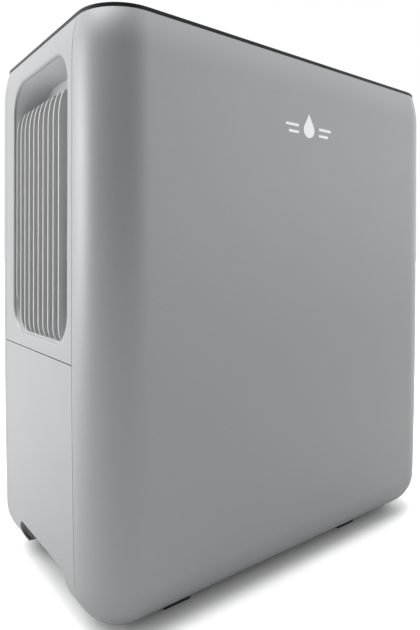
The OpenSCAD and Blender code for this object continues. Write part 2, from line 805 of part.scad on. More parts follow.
// Front of the tank: its finger cut-out is open below, and two ribs close the cut-out's ends
module tank_front() {
    color([0.80, 0.80, 0.82]) {
        difference() {
            side(2, 0, wall, flat_d - 2 * parting_gap);
            box_between([-half_w - 1, -half_d, seam_z], [0, half_d, top_z + 1]);
            box_between([-half_w - 1, -half_d, -1], [0, half_d, front_bottom]);
            translate([-half_w - 1, open_y, arch_z / 2]) rotate([90, 0, 90])
                linear_extrude(base_inset + 4) round_rect(arch_w, arch_z, arch_r);
            box_between([-half_w - 1, open_y - arch_w / 2, -1],
                        [-half_w + base_inset + 3, open_y + arch_w / 2, arch_z - arch_r]);
        }
        intersection() {
            for (y = [-1, 1])
                side(2, wall - 0.5, rib_depth, rib_t,
                     -open_y - y * (arch_w / 2 + rib_t / 2));
            box_between([-half_w, -half_d, front_bottom], [0, half_d, arch_z + rib_t]);
        }
        for (y = [-1, 1], z = [tank_z + 18, tank_top - 14])
            along_x(-half_w + wall + lean(z - foot_h) - 0.5, y * 60, z)
                cylinder(r = 6, h = tank_x0 + half_w - wall - lean(z - foot_h) + 0.5);
    }
}
module tank_lid() {
    color([0.85, 0.87, 0.90]) translate([(tank_x0 + tank_x1) / 2, 0, 0]) {
        difference() {
            union() {
                round_plate(tank_len + 1, tank_w + 1, tank_r + 0.5, tank_top, lid_t);
                round_plate(tank_len - 2 * (tank_wall + lid_fit),
                            tank_w - 2 * (tank_wall + lid_fit),
                            tank_r - tank_wall - lid_fit, tank_top - 3, 3 + eps);
            }
            round_plate(tank_len - 2 * tank_wall - 5, tank_w - 2 * tank_wall - 5,
                        10, tank_top - 4, 4);
            translate([spout_x - (tank_x0 + tank_x1) / 2, open_y, tank_top - 5])
                linear_extrude(12) round_rect(filler_w, filler_w, 8);
        }
        for (y = [-1, 1])
            box_between([-tank_len / 2 + 20, y * 30 - 3, tank_top + lid_t - eps],
                        [-tank_len / 2 + 28, y * 30 + 3, tank_top + lid_t + grip_h - 2]);
        box_between([-tank_len / 2 + 20, -33, tank_top + lid_t + grip_h - 2 - eps],
                    [-tank_len / 2 + 28, 33, tank_top + lid_t + grip_h]);
    }
}
module float_pin() {
    color([0.70, 0.70, 0.72]) along_y(pivot_x, -ear_gap / 2 - ear_t, pivot_z)
        cylinder(r = pin_r, h = ear_gap + 2 * ear_t);
}
module float_arm() {
    color([0.92, 0.92, 0.90]) difference() {
        union() {
            along_y(pivot_x, -ear_gap / 2 + 1, pivot_z) cylinder(r = 5, h = ear_gap - 2);
            translate([pivot_x, 0, pivot_z]) rotate([90, 0, 0]) linear_extrude(8, center = true)
                polygon([[-2, 4], [-2, -4], [-40, -34], [-46, -28]]);
            box_between([pivot_x - 72, -float_d, pivot_z - 54], [pivot_x - 36, float_d, pivot_z - 26]);
            box_between([pivot_x - 4, -5, pivot_z + 3], [pivot_x + 4, 5, pivot_z + 11]);
        }
        along_y(pivot_x, -ear_gap, pivot_z) cylinder(r = pin_r + pin_clear, h = 2 * ear_gap);
        along_x(pivot_x - 2, 0, pivot_z + 7.4) cylinder(r = magnet_r + fixed_fit, h = 8);
    }
}
module float_magnet() {
    color([0.35, 0.35, 0.37]) along_x(pivot_x - 2, 0, pivot_z + 7.4) cylinder(r = magnet_r, h = 6);
}
module reed_sensor() {
    color([0.10, 0.10, 0.10]) {
        box_between([bulkhead_x + bulkhead_t, -12, pivot_z - 6],
                    [bulkhead_x + bulkhead_t + 5, 12, pivot_z + 14]);
        for (y = [-1, 1])
            along_x(bulkhead_x + bulkhead_t + 5 - eps, y * 8, pivot_z + 10) cylinder(r = 2.6, h = 2);
    }
}

// Drip tray under the coils, with the spout that fills the tank
module drip_tray() {
    color([0.70, 0.71, 0.73]) difference() {
        union() {
            difference() {
                box_between([tray_x0, tray_y0, deck_top], [tray_x1, tray_y1, deck_top + tray_h]);
                box_between([tray_x0 + 2, tray_y0 + 2, tray_floor],
                            [tray_x1 - 2, tray_y1 - 2, deck_top + tray_h + 1]);
            }
            translate([spout_x, open_y, deck_z - 2]) cylinder(r = spout_r, h = tray_floor - deck_z + 1);
        }
        translate([spout_x, open_y, deck_z - 3]) cylinder(r = spout_r - 2, h = 12);
        along_y(spigot_x, tray_y1 - 4, spigot_z) cylinder(r = spigot_bore, h = 8);
    }
}

function pass_z(i) = tray_floor + 10 + i * tube_step;
module coil_holes(x) {
    for (i = [0 : coil_passes - 1])
        translate([x, pass_z(i)]) circle(coil_tube_r, $fn = 20);
}
// Upright plate across the coils at y, t thick, pierced for the tubes
module coil_plate(x0, x1, z0, z1, y, t, xs) {
    translate([0, y + t, 0]) rotate([90, 0, 0]) linear_extrude(t) difference() {
        translate([x0, z0]) square([x1 - x0, z1 - z0]);
        for (x = xs) coil_holes(x);
    }
}
module coil_end_plates() {
    color([0.62, 0.64, 0.66]) for (y = [coil_y0 - end_plate_t, coil_y1])
        coil_plate(evap_x0 - 1, cond_x0 + cond_d + 1, tray_floor, coil_z1 + 6, y, end_plate_t,
                   [evap_x, cond_x]);
}
module fins(x0, depth) {
    count = floor((coil_y1 - coil_y0 - 2) / fin_pitch);
    slack = coil_y1 - coil_y0 - (count - 1) * fin_pitch;
    for (i = [0 : count - 1])
        coil_plate(x0, x0 + depth, tray_floor + 2, coil_z1,
                   coil_y0 + slack / 2 + i * fin_pitch - fin_t / 2, fin_t, [x0 + depth / 2]);
}
// Serpentine of straight passes joined by return bends beyond the end plates
module coil_tubes(x) {
    reach = 9;
    for (i = [0 : coil_passes - 1])
        along_y(x, coil_y0 - reach, pass_z(i))
            cylinder(r = coil_tube_r, h = coil_y1 - coil_y0 + 2 * reach, $fn = 20);
    for (i = [0 : coil_passes - 2])
        translate([x, i % 2 == 0 ? coil_y1 + reach - 4 : coil_y0 - reach + 4,
                   pass_z(i) + coil_tube_r - 1])
            cylinder(r = coil_tube_r - 1, h = tube_step - 2 * coil_tube_r + 2, $fn = 20);
}
module evaporator_fins() {
    color([0.78, 0.80, 0.82]) fins(evap_x0, evap_d);
}
module condenser_fins() {
    color([0.74, 0.76, 0.78]) fins(cond_x0, cond_d);
}
module evaporator_tubes() {
    color([0.72, 0.45, 0.20]) coil_tubes(evap_x);
}
module condenser_tubes() {
    color([0.72, 0.45, 0.20]) coil_tubes(cond_x);
}

// Fan
module fan_shroud() {
    y0 = tray_y0 + 2;
    y1 = tray_y1 + 8;
    color([0.12, 0.13, 0.14]) difference() {
        union() {
            box_between([fan_x, y0, deck_top], [fan_x + shroud_t, y1, shroud_top]);
            along_x(fan_x, open_y, fan_z)
                cylinder(r = fan_r + fan_gap + shroud_t, h = shroud_len, $fn = 96);
            box_between([fan_x, y0, deck_top], [fan_x + shroud_t + 16, y1, deck_top + 2.5]);
        }
        along_x(fan_x - 1, open_y, fan_z)
            cylinder(r = fan_r + fan_gap, h = shroud_len + 2, $fn = 96);
        at_deck_screws() translate([0, 0, deck_top - 1]) cylinder(r = screw_r + screw_clear, h = 5);
    }
}
module impeller() {
    blade_w = 34;
    color([0.20, 0.21, 0.23]) difference() {
        union() {
            along_x(fan_x + 5, open_y, fan_z) cylinder(r = hub_r, h = 24);
            intersection() {
                along_x(fan_x + 3, open_y, fan_z) cylinder(r = fan_r, h = 27, $fn = 96);
                along_x(fan_x + 17, open_y, fan_z)
                    for (i = [0 : blade_count - 1]) rotate([0, 0, i * 360 / blade_count])
                        translate([hub_r - 2, 0, 0]) rotate([32, 0, 0])
                            translate([0, -blade_w / 2, -1]) cube([fan_r, blade_w, 2]);
            }
        }
        along_x(fan_x, open_y, fan_z) cylinder(r = shaft_r + fixed_fit, h = 40);
    }
}
module motor_shaft() {
    color([0.70, 0.70, 0.72]) along_x(fan_x - 3, open_y, fan_z)
        cylinder(r = shaft_r, h = motor_x + motor_len - 1 - fan_x + 3);
}
module impeller_nut() {
    color([0.75, 0.72, 0.60]) difference() {
        along_x(fan_x - 2, open_y, fan_z) cylinder(r = 8, h = 7, $fn = 6);
        along_x(fan_x - 3, open_y, fan_z) cylinder(r = shaft_r + fixed_fit, h = 9);
    }
}
module motor_bracket() {
    color([0.50, 0.52, 0.54]) difference() {
        union() {
            along_x(motor_x - bracket_t, open_y, fan_z) cylinder(r = motor_r + 2, h = bracket_t);
            along_x(motor_x - bracket_t, open_y, fan_z) for (i = [0 : 3]) rotate([0, 0, 45 + 90 * i])
                translate([motor_r - 2, -6, 0])
                    cube([fan_r + fan_gap + shroud_t - motor_r + 2, 12, bracket_t]);
        }
        along_x(motor_x - bracket_t - 1, open_y, fan_z) cylinder(r = shaft_r + 4, h = bracket_t + 2);
    }
}
module fan_motor() {
    color([0.42, 0.43, 0.45]) difference() {
        union() {
            along_x(motor_x, open_y, fan_z) cylinder(r = motor_r - 4, h = motor_len);
            along_x(motor_x + 8, open_y, fan_z) cylinder(r = motor_r, h = motor_len - 16);
            along_x(motor_x, open_y, fan_z) cylinder(r = motor_r, h = 3);
        }
        along_x(motor_x - 1, open_y, fan_z) cylinder(r = bearing_r + fixed_fit, h = motor_len + 2);
    }
}
module motor_bearings() {
    color([0.80, 0.62, 0.30]) for (x = [motor_x, motor_x + motor_len - bearing_len])
        difference() {
            along_x(x, open_y, fan_z) cylinder(r = bearing_r, h = bearing_len);
            along_x(x - 1, open_y, fan_z) cylinder(r = shaft_r + shaft_clear, h = bearing_len + 2);
        }
}

// Compressor and its rubber-mounted foot
module at_compressor_feet() {
    for (i = [0 : 2]) translate([comp_x, comp_y, 0]) rotate([0, 0, 60 + 120 * i])
        translate([comp_foot_r, 0, 0]) children();
}
module compressor_profile(inset) {
    dome = 16;
    r = compressor_r - inset;
    polygon(concat(
        [[0, inset - 6]],
        [for (a = [0 : 15 : 90]) [r - dome + dome * sin(a), inset + dome - dome * cos(a)]],
        [for (a = [0 : 15 : 90])
            [r - dome + dome * cos(a), compressor_h - inset - dome + dome * sin(a)]],
        [[r - 26, compressor_h - inset + 2], [0, compressor_h - inset + 6]]
    ));
}
module compressor() {
    foot_z = comp_z - 10;
    color([0.08, 0.08, 0.09]) difference() {
        union() {
            translate([comp_x, comp_y, comp_z])
                rotate_extrude($fn = 72) compressor_profile(0);
            translate([comp_x, comp_y, foot_z]) cylinder(r = compressor_r - 18, h = 8);
            translate([comp_x, comp_y, foot_z]) cylinder(r = comp_foot_r + 12, h = 3);
            box_between([comp_x + 12, comp_y - 10, comp_top],
                        [comp_x + 34, comp_y + 14, comp_top + 14]);
        }
        translate([comp_x, comp_y, comp_z])
            rotate_extrude($fn = 72) compressor_profile(compressor_wall);
        translate([comp_x + outlet_dx, comp_y + outlet_dy, comp_top - 10])
            cylinder(r = pipe_r, h = 20);
        translate([0, 0, foot_z - 1]) at_compressor_feet() cylinder(r = 4.2, h = 5);
    }
}
// Motor stator over the pump, both held by the shell
module compressor_pump() {
    r = compressor_r - compressor_wall;
    color([0.45, 0.42, 0.40]) translate([comp_x, comp_y, comp_z]) {
        translate([0, 0, 26]) cylinder(r = r, h = 34);
        translate([0, 0, 60 - eps]) difference() {
            cylinder(r = r, h = 70);
            translate([0, 0, -1]) cylinder(r = r / 2, h = 72);
        }
    }
}

module compressor_grommets() {
    h = comp_z - 10 - base_top - 4;
    color([0.07, 0.07, 0.07]) translate([0, 0, base_top + 4]) at_compressor_feet() difference() {
        cylinder(r = 9, h = h);
        translate([0, 0, -1]) cylinder(r = 3.4, h = h + 2);
    }
}
module compressor_bolts() {
    head_z = comp_z - 7;
    color([0.60, 0.60, 0.62]) at_compressor_feet() {
        translate([0, 0, foot_h + 0.5]) cylinder(r = 3, h = head_z - foot_h);
        translate([0, 0, head_z]) cylinder(r = 8, h = 1.2);
        translate([0, 0, head_z + 1.1]) cylinder(r = 5.5, h = 4, $fn = 6);
    }
}
module accumulator() {
    color([0.10, 0.10, 0.11]) {
        translate([acc_x, acc_y, acc_z]) rotate_extrude() polygon([
            [0, -8], [8, -6], [acc_r - 4, 4], [acc_r, 14], [acc_r, acc_h - 14],
            [acc_r - 4, acc_h - 4], [8, acc_h], [0, acc_h]
        ]);
        swept_tube(rounded([[acc_x, acc_y, acc_z - 6], [acc_x, acc_y, acc_z - 20],
                            [comp_x + 44, acc_y, acc_z - 20]], 9), pipe_r);
    }
}

// Refrigerant pipes
module suction_pipe() {
    color([0.72, 0.45, 0.20]) swept_tube(rounded([
        [evap_x, coil_y1 + 9.1, suction_z], [evap_x, suction_y, suction_z],
        [acc_x, suction_y, suction_z], [acc_x, acc_y, suction_z],
        [acc_x, acc_y, acc_z + acc_h + 0.1]
    ], pipe_bend), pipe_r);
}
module discharge_pipe() {
    color([0.72, 0.45, 0.20]) swept_tube(rounded([
        [comp_x + outlet_dx, comp_y + outlet_dy, comp_top - 2],
        [comp_x + outlet_dx, comp_y + outlet_dy, discharge_z],
        [comp_x + outlet_dx, discharge_y, discharge_z], [cond_x, discharge_y, discharge_z],
        [cond_x, coil_y0 - 9.1, discharge_z]
    ], 10), pipe_r);
}
module liquid_line() {
    top = pass_z(coil_passes - 1);
    loop_z = drier_z0 - 26;
    color([0.72, 0.45, 0.20]) {
        swept_tube(rounded([
            [cond_x, coil_y1 + 9.1, top], [cond_x, coil_y1 + 24, top],
            [cond_x, coil_y1 + 24, drier_z0 + drier_h + 0.1]
        ], 9), 2.5);
        swept_tube(concat(
            [[cond_x, coil_y1 + 24, drier_z0 - 0.1], [cond_x, coil_y1 + 24, drier_z0 - 10]],
            [for (i = [0 : coil_loops * 12]) let (a = 30 * i)
                [cond_x - coil_loop_r + coil_loop_r * cos(a),
                 coil_y1 + 24 + coil_loop_r * sin(a) * (i > 0 ? 1 : 0),
                 loop_z + 10 - loop_pitch * i / 12]],
            [[cond_x, coil_y1 + 24, loop_z - 14]]
        ), capillary_r, 8);
    }
}
module filter_drier() {
    color([0.72, 0.45, 0.20]) translate([cond_x, coil_y1 + 24, drier_z0]) rotate_extrude()
        polygon([[0, 0], [3.5, 0], [4, 6], [9, 14], [9, drier_h - 14], [4, drier_h - 6],
                 [3.5, drier_h], [0, drier_h]]);
}

// Electronics
module control_box() {
    y1 = half_d - wall;
    color([0.30, 0.31, 0.33]) difference() {
        box_between([box_x0, y1 - box_d, box_z], [box_x0 + box_w, y1, box_z + box_h]);
        box_between([box_x0 + box_wall, y1 - box_d + box_wall, box_z + box_wall],
                    [box_x0 + box_w - box_wall, y1 - box_wall, box_z + box_h + 1]);
        along_x(box_x0 - 1, y1 - box_d + 22, box_z + 16) cylinder(r = 5, h = 5);
    }
}
module main_board() {
    y1 = half_d - wall;
    z = box_z + box_wall + 6;
    color([0.05, 0.30, 0.14]) {
        box_between([box_x0 + 5, y1 - box_d + 5, z], [box_x0 + 95, y1 - 6, z + 1.6]);
        for (p = [[16, 16, 20, 24], [46, 14, 16, 14], [20, 56, 28, 18], [60, 50, 22, 22]])
            box_between([box_x0 + p[0], y1 - box_d + p[1], z + 1.5],
                        [box_x0 + p[0] + p[2], y1 - box_d + p[1] + p[3], z + 14]);
        for (x = [12, 88], y = [12, box_d - 13])
            translate([box_x0 + x, y1 - box_d + y, box_z + box_wall])
                cylinder(r = 3, h = 6.1);
    }
}
module run_capacitor() {
    color([0.80, 0.80, 0.82]) along_y(box_x0 + 117, half_d - wall - box_d + 12, box_z + box_wall + 14)
        cylinder(r = 14, h = 70);
}
module humidity_sensor() {
    color([0.92, 0.92, 0.92]) {
        box_between([tray_x0 - 3, tray_y0 - 4, tray_floor + 60],
                    [tray_x0 + 1, tray_y0 + 5, tray_floor + 84]);
        box_between([tray_x0 - 2, tray_y0 - 1, deck_top], [tray_x0 - 0.2, tray_y0 + 3, tray_floor + 61]);
    }
}

front_shell();
back_shell();
left_panel();
right_panel();
outlet_grille();
badge();
base_pan();
feet();
shell_screws();
chassis();
chassis_screws();
drain_spigot();
drain_cap();
cord_gland();
top_panel();
control_fascia();
display_lens();
display_board();
tactile_switches();
power_button();
mode_button();
fan_button();
humidity_up_button();
humidity_down_button();
intake_grille();
filter_frame();
filter_mesh();
tank_body();
tank_front();
tank_lid();
float_pin();
float_arm();
float_magnet();
reed_sensor();
drip_tray();
coil_end_plates();
evaporator_fins();
evaporator_tubes();
condenser_fins();
condenser_tubes();
fan_shroud();
motor_bracket();
fan_motor();
motor_bearings();
motor_shaft();
impeller();
impeller_nut();
compressor();
compressor_pump();
accumulator();
compressor_grommets();
compressor_bolts();
suction_pipe();
discharge_pipe();
liquid_line();
filter_drier();
control_box();
main_board();
run_capacitor();
humidity_sensor();
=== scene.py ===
import bmesh
import bpy
import math
from mathutils import Matrix, Vector


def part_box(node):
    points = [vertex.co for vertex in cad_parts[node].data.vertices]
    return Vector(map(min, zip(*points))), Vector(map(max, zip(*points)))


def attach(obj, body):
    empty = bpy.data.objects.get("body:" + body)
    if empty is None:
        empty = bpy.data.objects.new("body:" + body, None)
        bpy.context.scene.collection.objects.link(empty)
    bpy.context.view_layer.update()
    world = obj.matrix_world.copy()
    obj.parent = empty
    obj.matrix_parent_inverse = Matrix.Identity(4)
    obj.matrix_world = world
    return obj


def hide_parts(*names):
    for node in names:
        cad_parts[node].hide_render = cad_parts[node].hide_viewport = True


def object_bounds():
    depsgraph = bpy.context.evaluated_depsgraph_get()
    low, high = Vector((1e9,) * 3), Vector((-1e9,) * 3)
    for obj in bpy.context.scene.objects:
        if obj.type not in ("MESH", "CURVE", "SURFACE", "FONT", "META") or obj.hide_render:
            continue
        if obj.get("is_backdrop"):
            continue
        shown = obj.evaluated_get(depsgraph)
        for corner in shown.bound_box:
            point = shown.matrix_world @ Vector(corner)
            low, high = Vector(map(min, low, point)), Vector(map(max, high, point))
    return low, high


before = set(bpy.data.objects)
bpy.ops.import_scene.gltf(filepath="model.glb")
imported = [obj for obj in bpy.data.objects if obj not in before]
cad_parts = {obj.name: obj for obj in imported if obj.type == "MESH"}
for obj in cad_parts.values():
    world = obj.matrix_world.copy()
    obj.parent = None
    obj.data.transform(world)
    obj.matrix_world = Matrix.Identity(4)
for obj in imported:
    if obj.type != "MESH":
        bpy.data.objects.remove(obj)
cadLow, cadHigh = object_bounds()
print("frame loaded:", len(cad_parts), "nodes")

mm = 0.001


def vertsIn(made):  # the vertices that an operator made
    return [g for g in made if isinstance(g, bmesh.types.BMVert)]


def edgesIn(made):
    return [g for g in made if isinstance(g, bmesh.types.BMEdge)]


def weld(bm, distance=0.00001):
    bmesh.ops.remove_doubles(bm, verts=bm.verts, dist=distance)


def faceOut(bm, centre):  # makes the normals agree and point away from a point
    bmesh.ops.recalc_face_normals(bm, faces=bm.faces)
    away = sum((f.calc_center_median() - centre).dot(f.normal) * f.calc_area() for f in bm.faces)
    if away < 0:
        bmesh.ops.reverse_faces(bm, faces=bm.faces)


def addPiece(bm, name, body, material, hides=(), smooth=35, wall=0, bevel=0, steps=2):
    mesh = bpy.data.meshes.new(name)
    bm.to_mesh(mesh)
    bm.free()
    mesh.materials.append(material)
    piece = bpy.data.objects.new(name, mesh)
    bpy.context.scene.collection.objects.link(piece)
    if smooth:
        mesh.shade_smooth()
        for edge, angle in zip(mesh.edges, edgeAngles(mesh)):
            edge.use_edge_sharp = angle > math.radians(smooth)
    if wall:
        thick = piece.modifiers.new("wall", "SOLIDIFY")
        thick.thickness, thick.offset = wall, -1
        thick.use_even_offset = True
    if bevel:
        soft = piece.modifiers.new("soft edges", "BEVEL")
        soft.width, soft.segments = bevel, steps
        soft.limit_method, soft.angle_limit = "ANGLE", math.radians(40)
        soft.harden_normals = True
    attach(piece, body)
    if hides:
        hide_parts(*hides)
    return piece


def edgeAngles(mesh):
    bm = bmesh.new()
    bm.from_mesh(mesh)
    angles = [e.calc_face_angle(math.pi) if len(e.link_faces) == 2 else 0 for e in bm.edges]
    bm.free()
    return angles


def outline(bm, points):
    return bm.faces.new([bm.verts.new(p) for p in points])


def plate(bm, points, push):  # a flat outline pushed along a vector
    face = outline(bm, points)
    grown = bmesh.ops.extrude_face_region(bm, geom=[face])["geom"]
    bmesh.ops.translate(bm, vec=push, verts=vertsIn(grown))
    bmesh.ops.recalc_face_normals(bm, faces=bm.faces)
    return face


def roundPlate(bm, centre, size, radius, height, segments=8, turn=0):  # lies flat, rounded corners
    w, d = size[0] / 2, size[1] / 2
    part = bmesh.new()
    corners = [part.verts.new((a * w, b * d, 0)) for a, b in ((-1, -1), (1, -1), (1, 1), (-1, 1))]
    part.faces.new(corners)
    bmesh.ops.bevel(part, geom=corners, offset=radius, offset_type="OFFSET", segments=segments,
                    profile=0.5, affect="VERTICES", material=-1)
    weld(part, 0.000001)
    pushUp(part, height)
    bmesh.ops.rotate(part, cent=(0, 0, 0), matrix=Matrix.Rotation(turn, 3, "Z"), verts=part.verts)
    bmesh.ops.translate(part, vec=centre, verts=part.verts)
    join(bm, part)


def pushUp(bm, height):  # gives a flat shape its thickness
    grown = bmesh.ops.extrude_face_region(bm, geom=list(bm.faces))["geom"]
    bmesh.ops.translate(bm, vec=(0, 0, height), verts=vertsIn(grown))
    bmesh.ops.recalc_face_normals(bm, faces=bm.faces)


def join(bm, part):  # adds one mesh to another
    copy = bpy.data.meshes.new("part")
    part.to_mesh(copy)
    part.free()
    bm.from_mesh(copy)
    bpy.data.meshes.remove(copy)


def flatRing(bm, centre, outer, inner, height, gap=0, segments=32):  # a ring, open at its top by an angle
    part = bmesh.new()
    ends = [part.verts.new((0, r, 0)) for r in (inner, outer)]
    bmesh.ops.rotate(part, cent=(0, 0, 0), matrix=Matrix.Rotation(gap / 2, 3, "Z"), verts=ends)
    bmesh.ops.spin(part, geom=ends + [part.edges.new(ends)], cent=(0, 0, 0), axis=(0, 0, 1),
                   angle=2 * math.pi - gap, steps=segments, use_merge=not gap, use_duplicate=False)
    weld(part, 0.000001)
    pushUp(part, height)
    bmesh.ops.translate(part, vec=centre, verts=part.verts)
    join(bm, part)


def turned(bm, profile, centre, axis="Z", steps=32):  # spins a profile of radius and height
    chain = [bm.verts.new((r, 0, h)) for r, h in profile]
    edges = [bm.edges.new(pair) for pair in zip(chain, chain[1:])]
    bmesh.ops.spin(bm, geom=chain + edges, cent=(0, 0, 0), axis=(0, 0, 1), angle=2 * math.pi,
                   steps=steps, use_merge=True, use_duplicate=False)
    weld(bm)
    turn = {"Z": Matrix.Identity(3), "X": Matrix.Rotation(math.pi / 2, 3, "Y"),
            "Y": Matrix.Rotation(-math.pi / 2, 3, "X")}[axis]
    bmesh.ops.transform(bm, matrix=Matrix.Translation(centre) @ turn.to_4x4(), verts=bm.verts)
    bmesh.ops.recalc_face_normals(bm, faces=bm.faces)


def newMaterial(name, **sockets):
    material = bpy.data.materials.new(name)
    material.use_nodes = True
    shader = material.node_tree.nodes["Principled BSDF"]
    for socket, value in sockets.items():
        shader.inputs[socket.replace("_", " ")].default_value = value
    return material, material.node_tree, shader


def grain(tree, scale, detail=3.0, stretch=(1, 1, 1)):  # noise on Object coordinates
    place = tree.nodes.new("ShaderNodeTexCoord")
    spread = tree.nodes.new("ShaderNodeMapping")
    spread.inputs["Scale"].default_value = stretch
    noise = tree.nodes.new("ShaderNodeTexNoise")
    noise.inputs["Scale"].default_value = scale
    noise.inputs["Detail"].default_value = detail
    tree.links.new(place.outputs["Object"], spread.inputs["Vector"])
    tree.links.new(spread.outputs["Vector"], noise.inputs["Vector"])
    return noise.outputs["Fac"]


def ramp(tree, factor, low, high, start=0.3, end=0.7):
    band = tree.nodes.new("ShaderNodeValToRGB")
    band.color_ramp.elements[0].position, band.color_ramp.elements[0].color = start, low
    band.color_ramp.elements[1].position, band.color_ramp.elements[1].color = end, high
    tree.links.new(factor, band.inputs["Fac"])
    return band.outputs["Color"]


def grey(value, tint=(1, 1, 1)):
    return (value * tint[0], value * tint[1], value * tint[2], 1)


def spread(tree, factor, low, high, socket):
    between = tree.nodes.new("ShaderNodeMapRange")
    between.inputs["To Min"].default_value, between.inputs["To Max"].default_value = low, high
    tree.links.new(factor, between.inputs["Value"])
    tree.links.new(between.outputs["Result"], socket)


def bumpFrom(tree, factor, shader, distance, strength=1.0):
    bump = tree.nodes.new("ShaderNodeBump")
    bump.inputs["Distance"].default_value = distance
    bump.inputs["Strength"].default_value = strength
    tree.links.new(factor, bump.inputs["Height"])
    tree.links.new(bump.outputs["Normal"], shader.inputs["Normal"])


def satinPaint(name, low, high, tint, metal=0.40, rough=(0.40, 0.47)):
    material, tree, shader = newMaterial(name, Metallic=metal)
    tree.links.new(ramp(tree, grain(tree, 2600, 1.0), grey(low, tint), grey(high, tint)),
                   shader.inputs["Base Color"])
    spread(tree, grain(tree, 14, 4.0), rough[0], rough[1], shader.inputs["Roughness"])
    bumpFrom(tree, grain(tree, 900, 2.0), shader, 0.00002, 0.35)
    return material


def mouldedPlastic(name, low, high, tint=(1, 1, 1), rough=(0.4, 0.5), texture=1400, depth=0.00004, clear=0,
                   gloss=0.5):
    material, tree, shader = newMaterial(name, Transmission_Weight=clear, IOR=1.49, Specular_IOR_Level=gloss)
    tree.links.new(ramp(tree, grain(tree, 22, 5.0), grey(low, tint), grey(high, tint)),
                   shader.inputs["Base Color"])
    spread(tree, grain(tree, 60, 4.0), rough[0], rough[1], shader.inputs["Roughness"])
    bumpFrom(tree, grain(tree, texture, 2.0), shader, depth, 0.5)
    return material


def brushedMetal(name, low, high, tint=(1, 1, 1), rough=(0.22, 0.38), stretch=(1, 1, 12)):
    material, tree, shader = newMaterial(name, Metallic=1.0)
    lines = grain(tree, 60, 6.0, stretch)
    tree.links.new(ramp(tree, lines, grey(low, tint), grey(high, tint)), shader.inputs["Base Color"])
    spread(tree, lines, rough[0], rough[1], shader.inputs["Roughness"])
    bumpFrom(tree, lines, shader, 0.00003, 0.4)
    return material


def wovenMesh(name):  # fine square filter net
    material, tree, shader = newMaterial(name, Roughness=0.7)
    place = tree.nodes.new("ShaderNodeTexCoord")
    threads = []
    for direction in ("Y", "Z"):
        wave = tree.nodes.new("ShaderNodeTexWave")
        wave.bands_direction = direction
        wave.inputs["Scale"].default_value = 160
        tree.links.new(place.outputs["Object"], wave.inputs["Vector"])
        threads.append(wave.outputs["Fac"])
    both = tree.nodes.new("ShaderNodeMath")
    both.operation = "MAXIMUM"
    tree.links.new(threads[0], both.inputs[0])
    tree.links.new(threads[1], both.inputs[1])
    tree.links.new(ramp(tree, both.outputs[0], grey(0.02), grey(0.12), 0.5, 0.9),
                   shader.inputs["Base Color"])
    bumpFrom(tree, both.outputs[0], shader, 0.0003, 0.8)
    return material


finish = {
    "shell": satinPaint("shell paint", 0.29, 0.32, (0.975, 0.99, 1.03)),
    "panel": satinPaint("panel paint", 0.295, 0.325, (0.975, 0.99, 1.03)),
    # recess lining: a lighter plastic than the panels, made lighter still as painted light that stands in
    # for the bounce light inside the hand recess
    "lining": mouldedPlastic("recess lining painted light", 0.56, 0.61, (0.985, 0.995, 1.01), (0.45, 0.55)),
    "grille": satinPaint("grille paint", 0.40, 0.45, (0.985, 0.99, 1.0), metal=0.0, rough=(0.4, 0.48)),
    "slate": mouldedPlastic("top slate", 0.007, 0.011, (0.85, 0.95, 1.15), (0.40, 0.48), 2200, 0.00001,
                            gloss=0.2),
    "black": mouldedPlastic("fascia black", 0.006, 0.009, (1, 1, 1.05), (0.08, 0.14), 2500, 0.000004),
    "lens": mouldedPlastic("lens smoke", 0.010, 0.014, (0.9, 1, 1.1), (0.03, 0.06), 2500, 0.000002),
    "button": satinPaint("button paint", 0.10, 0.13, (0.97, 0.99, 1.02), rough=(0.3, 0.38)),
    "glow": mouldedPlastic("display bars", 0.55, 0.62, (0.85, 0.97, 1.0), (0.3, 0.4)),
    "emblem": mouldedPlastic("emblem white", 0.90, 0.94, (1, 1, 1), (0.3, 0.36), 2500, 0.000006),
    "rubber": mouldedPlastic("foot rubber", 0.010, 0.016, (1, 1, 1), (0.62, 0.75), 700, 0.00012),
    "base": mouldedPlastic("base black", 0.020, 0.030, (1, 1, 1.03), (0.5, 0.6), 1100, 0.00008),
    "chassis": mouldedPlastic("chassis grey", 0.30, 0.36, (1, 1, 1.02), (0.45, 0.55)),
    "frame": mouldedPlastic("filter frame", 0.05, 0.07, (1, 1, 1.05), (0.45, 0.55)),
    "net": wovenMesh("filter net"),
    "tank": mouldedPlastic("tank clear", 0.78, 0.84, (0.93, 0.97, 1.0), (0.12, 0.2), 1800, 0.00002, 0.85),
    "lid": mouldedPlastic("tank lid", 0.62, 0.68, (0.97, 0.99, 1.0), (0.35, 0.45)),
    "white": mouldedPlastic("float foam", 0.74, 0.82, (1, 1, 0.98), (0.6, 0.7), 500, 0.0002),
    "steel": brushedMetal("bright steel", 0.45, 0.58),
    "zinc": brushedMetal("zinc plate", 0.36, 0.50, (0.98, 0.99, 1.0), (0.32, 0.48)),
    "fins": brushedMetal("fin aluminium", 0.62, 0.72, (0.99, 0.995, 1.0), (0.28, 0.4), (1, 6, 6)),
    "copper": brushedMetal("copper tube", 0.55, 0.68, (1.0, 0.56, 0.38), (0.22, 0.4), (3, 3, 3)),
    "bronze": brushedMetal("bearing bronze", 0.45, 0.55, (1.0, 0.72, 0.40), (0.3, 0.42), (4, 4, 4)),
    "enamel": mouldedPlastic("compressor enamel", 0.012, 0.020, (1, 1, 1), (0.25, 0.36), 300, 0.0001),
    "fan": mouldedPlastic("fan grey", 0.05, 0.07, (1, 1, 1.03), (0.35, 0.45)),
    "board": mouldedPlastic("board green", 0.05, 0.09, (0.25, 1.0, 0.45), (0.35, 0.5), 400, 0.0002),
    "tan": mouldedPlastic("capacitor shell", 0.55, 0.62, (1.0, 1.0, 1.0), (0.25, 0.35)),
    "cord": mouldedPlastic("gland black", 0.012, 0.018, (1, 1, 1), (0.5, 0.6), 900, 0.00008),
}
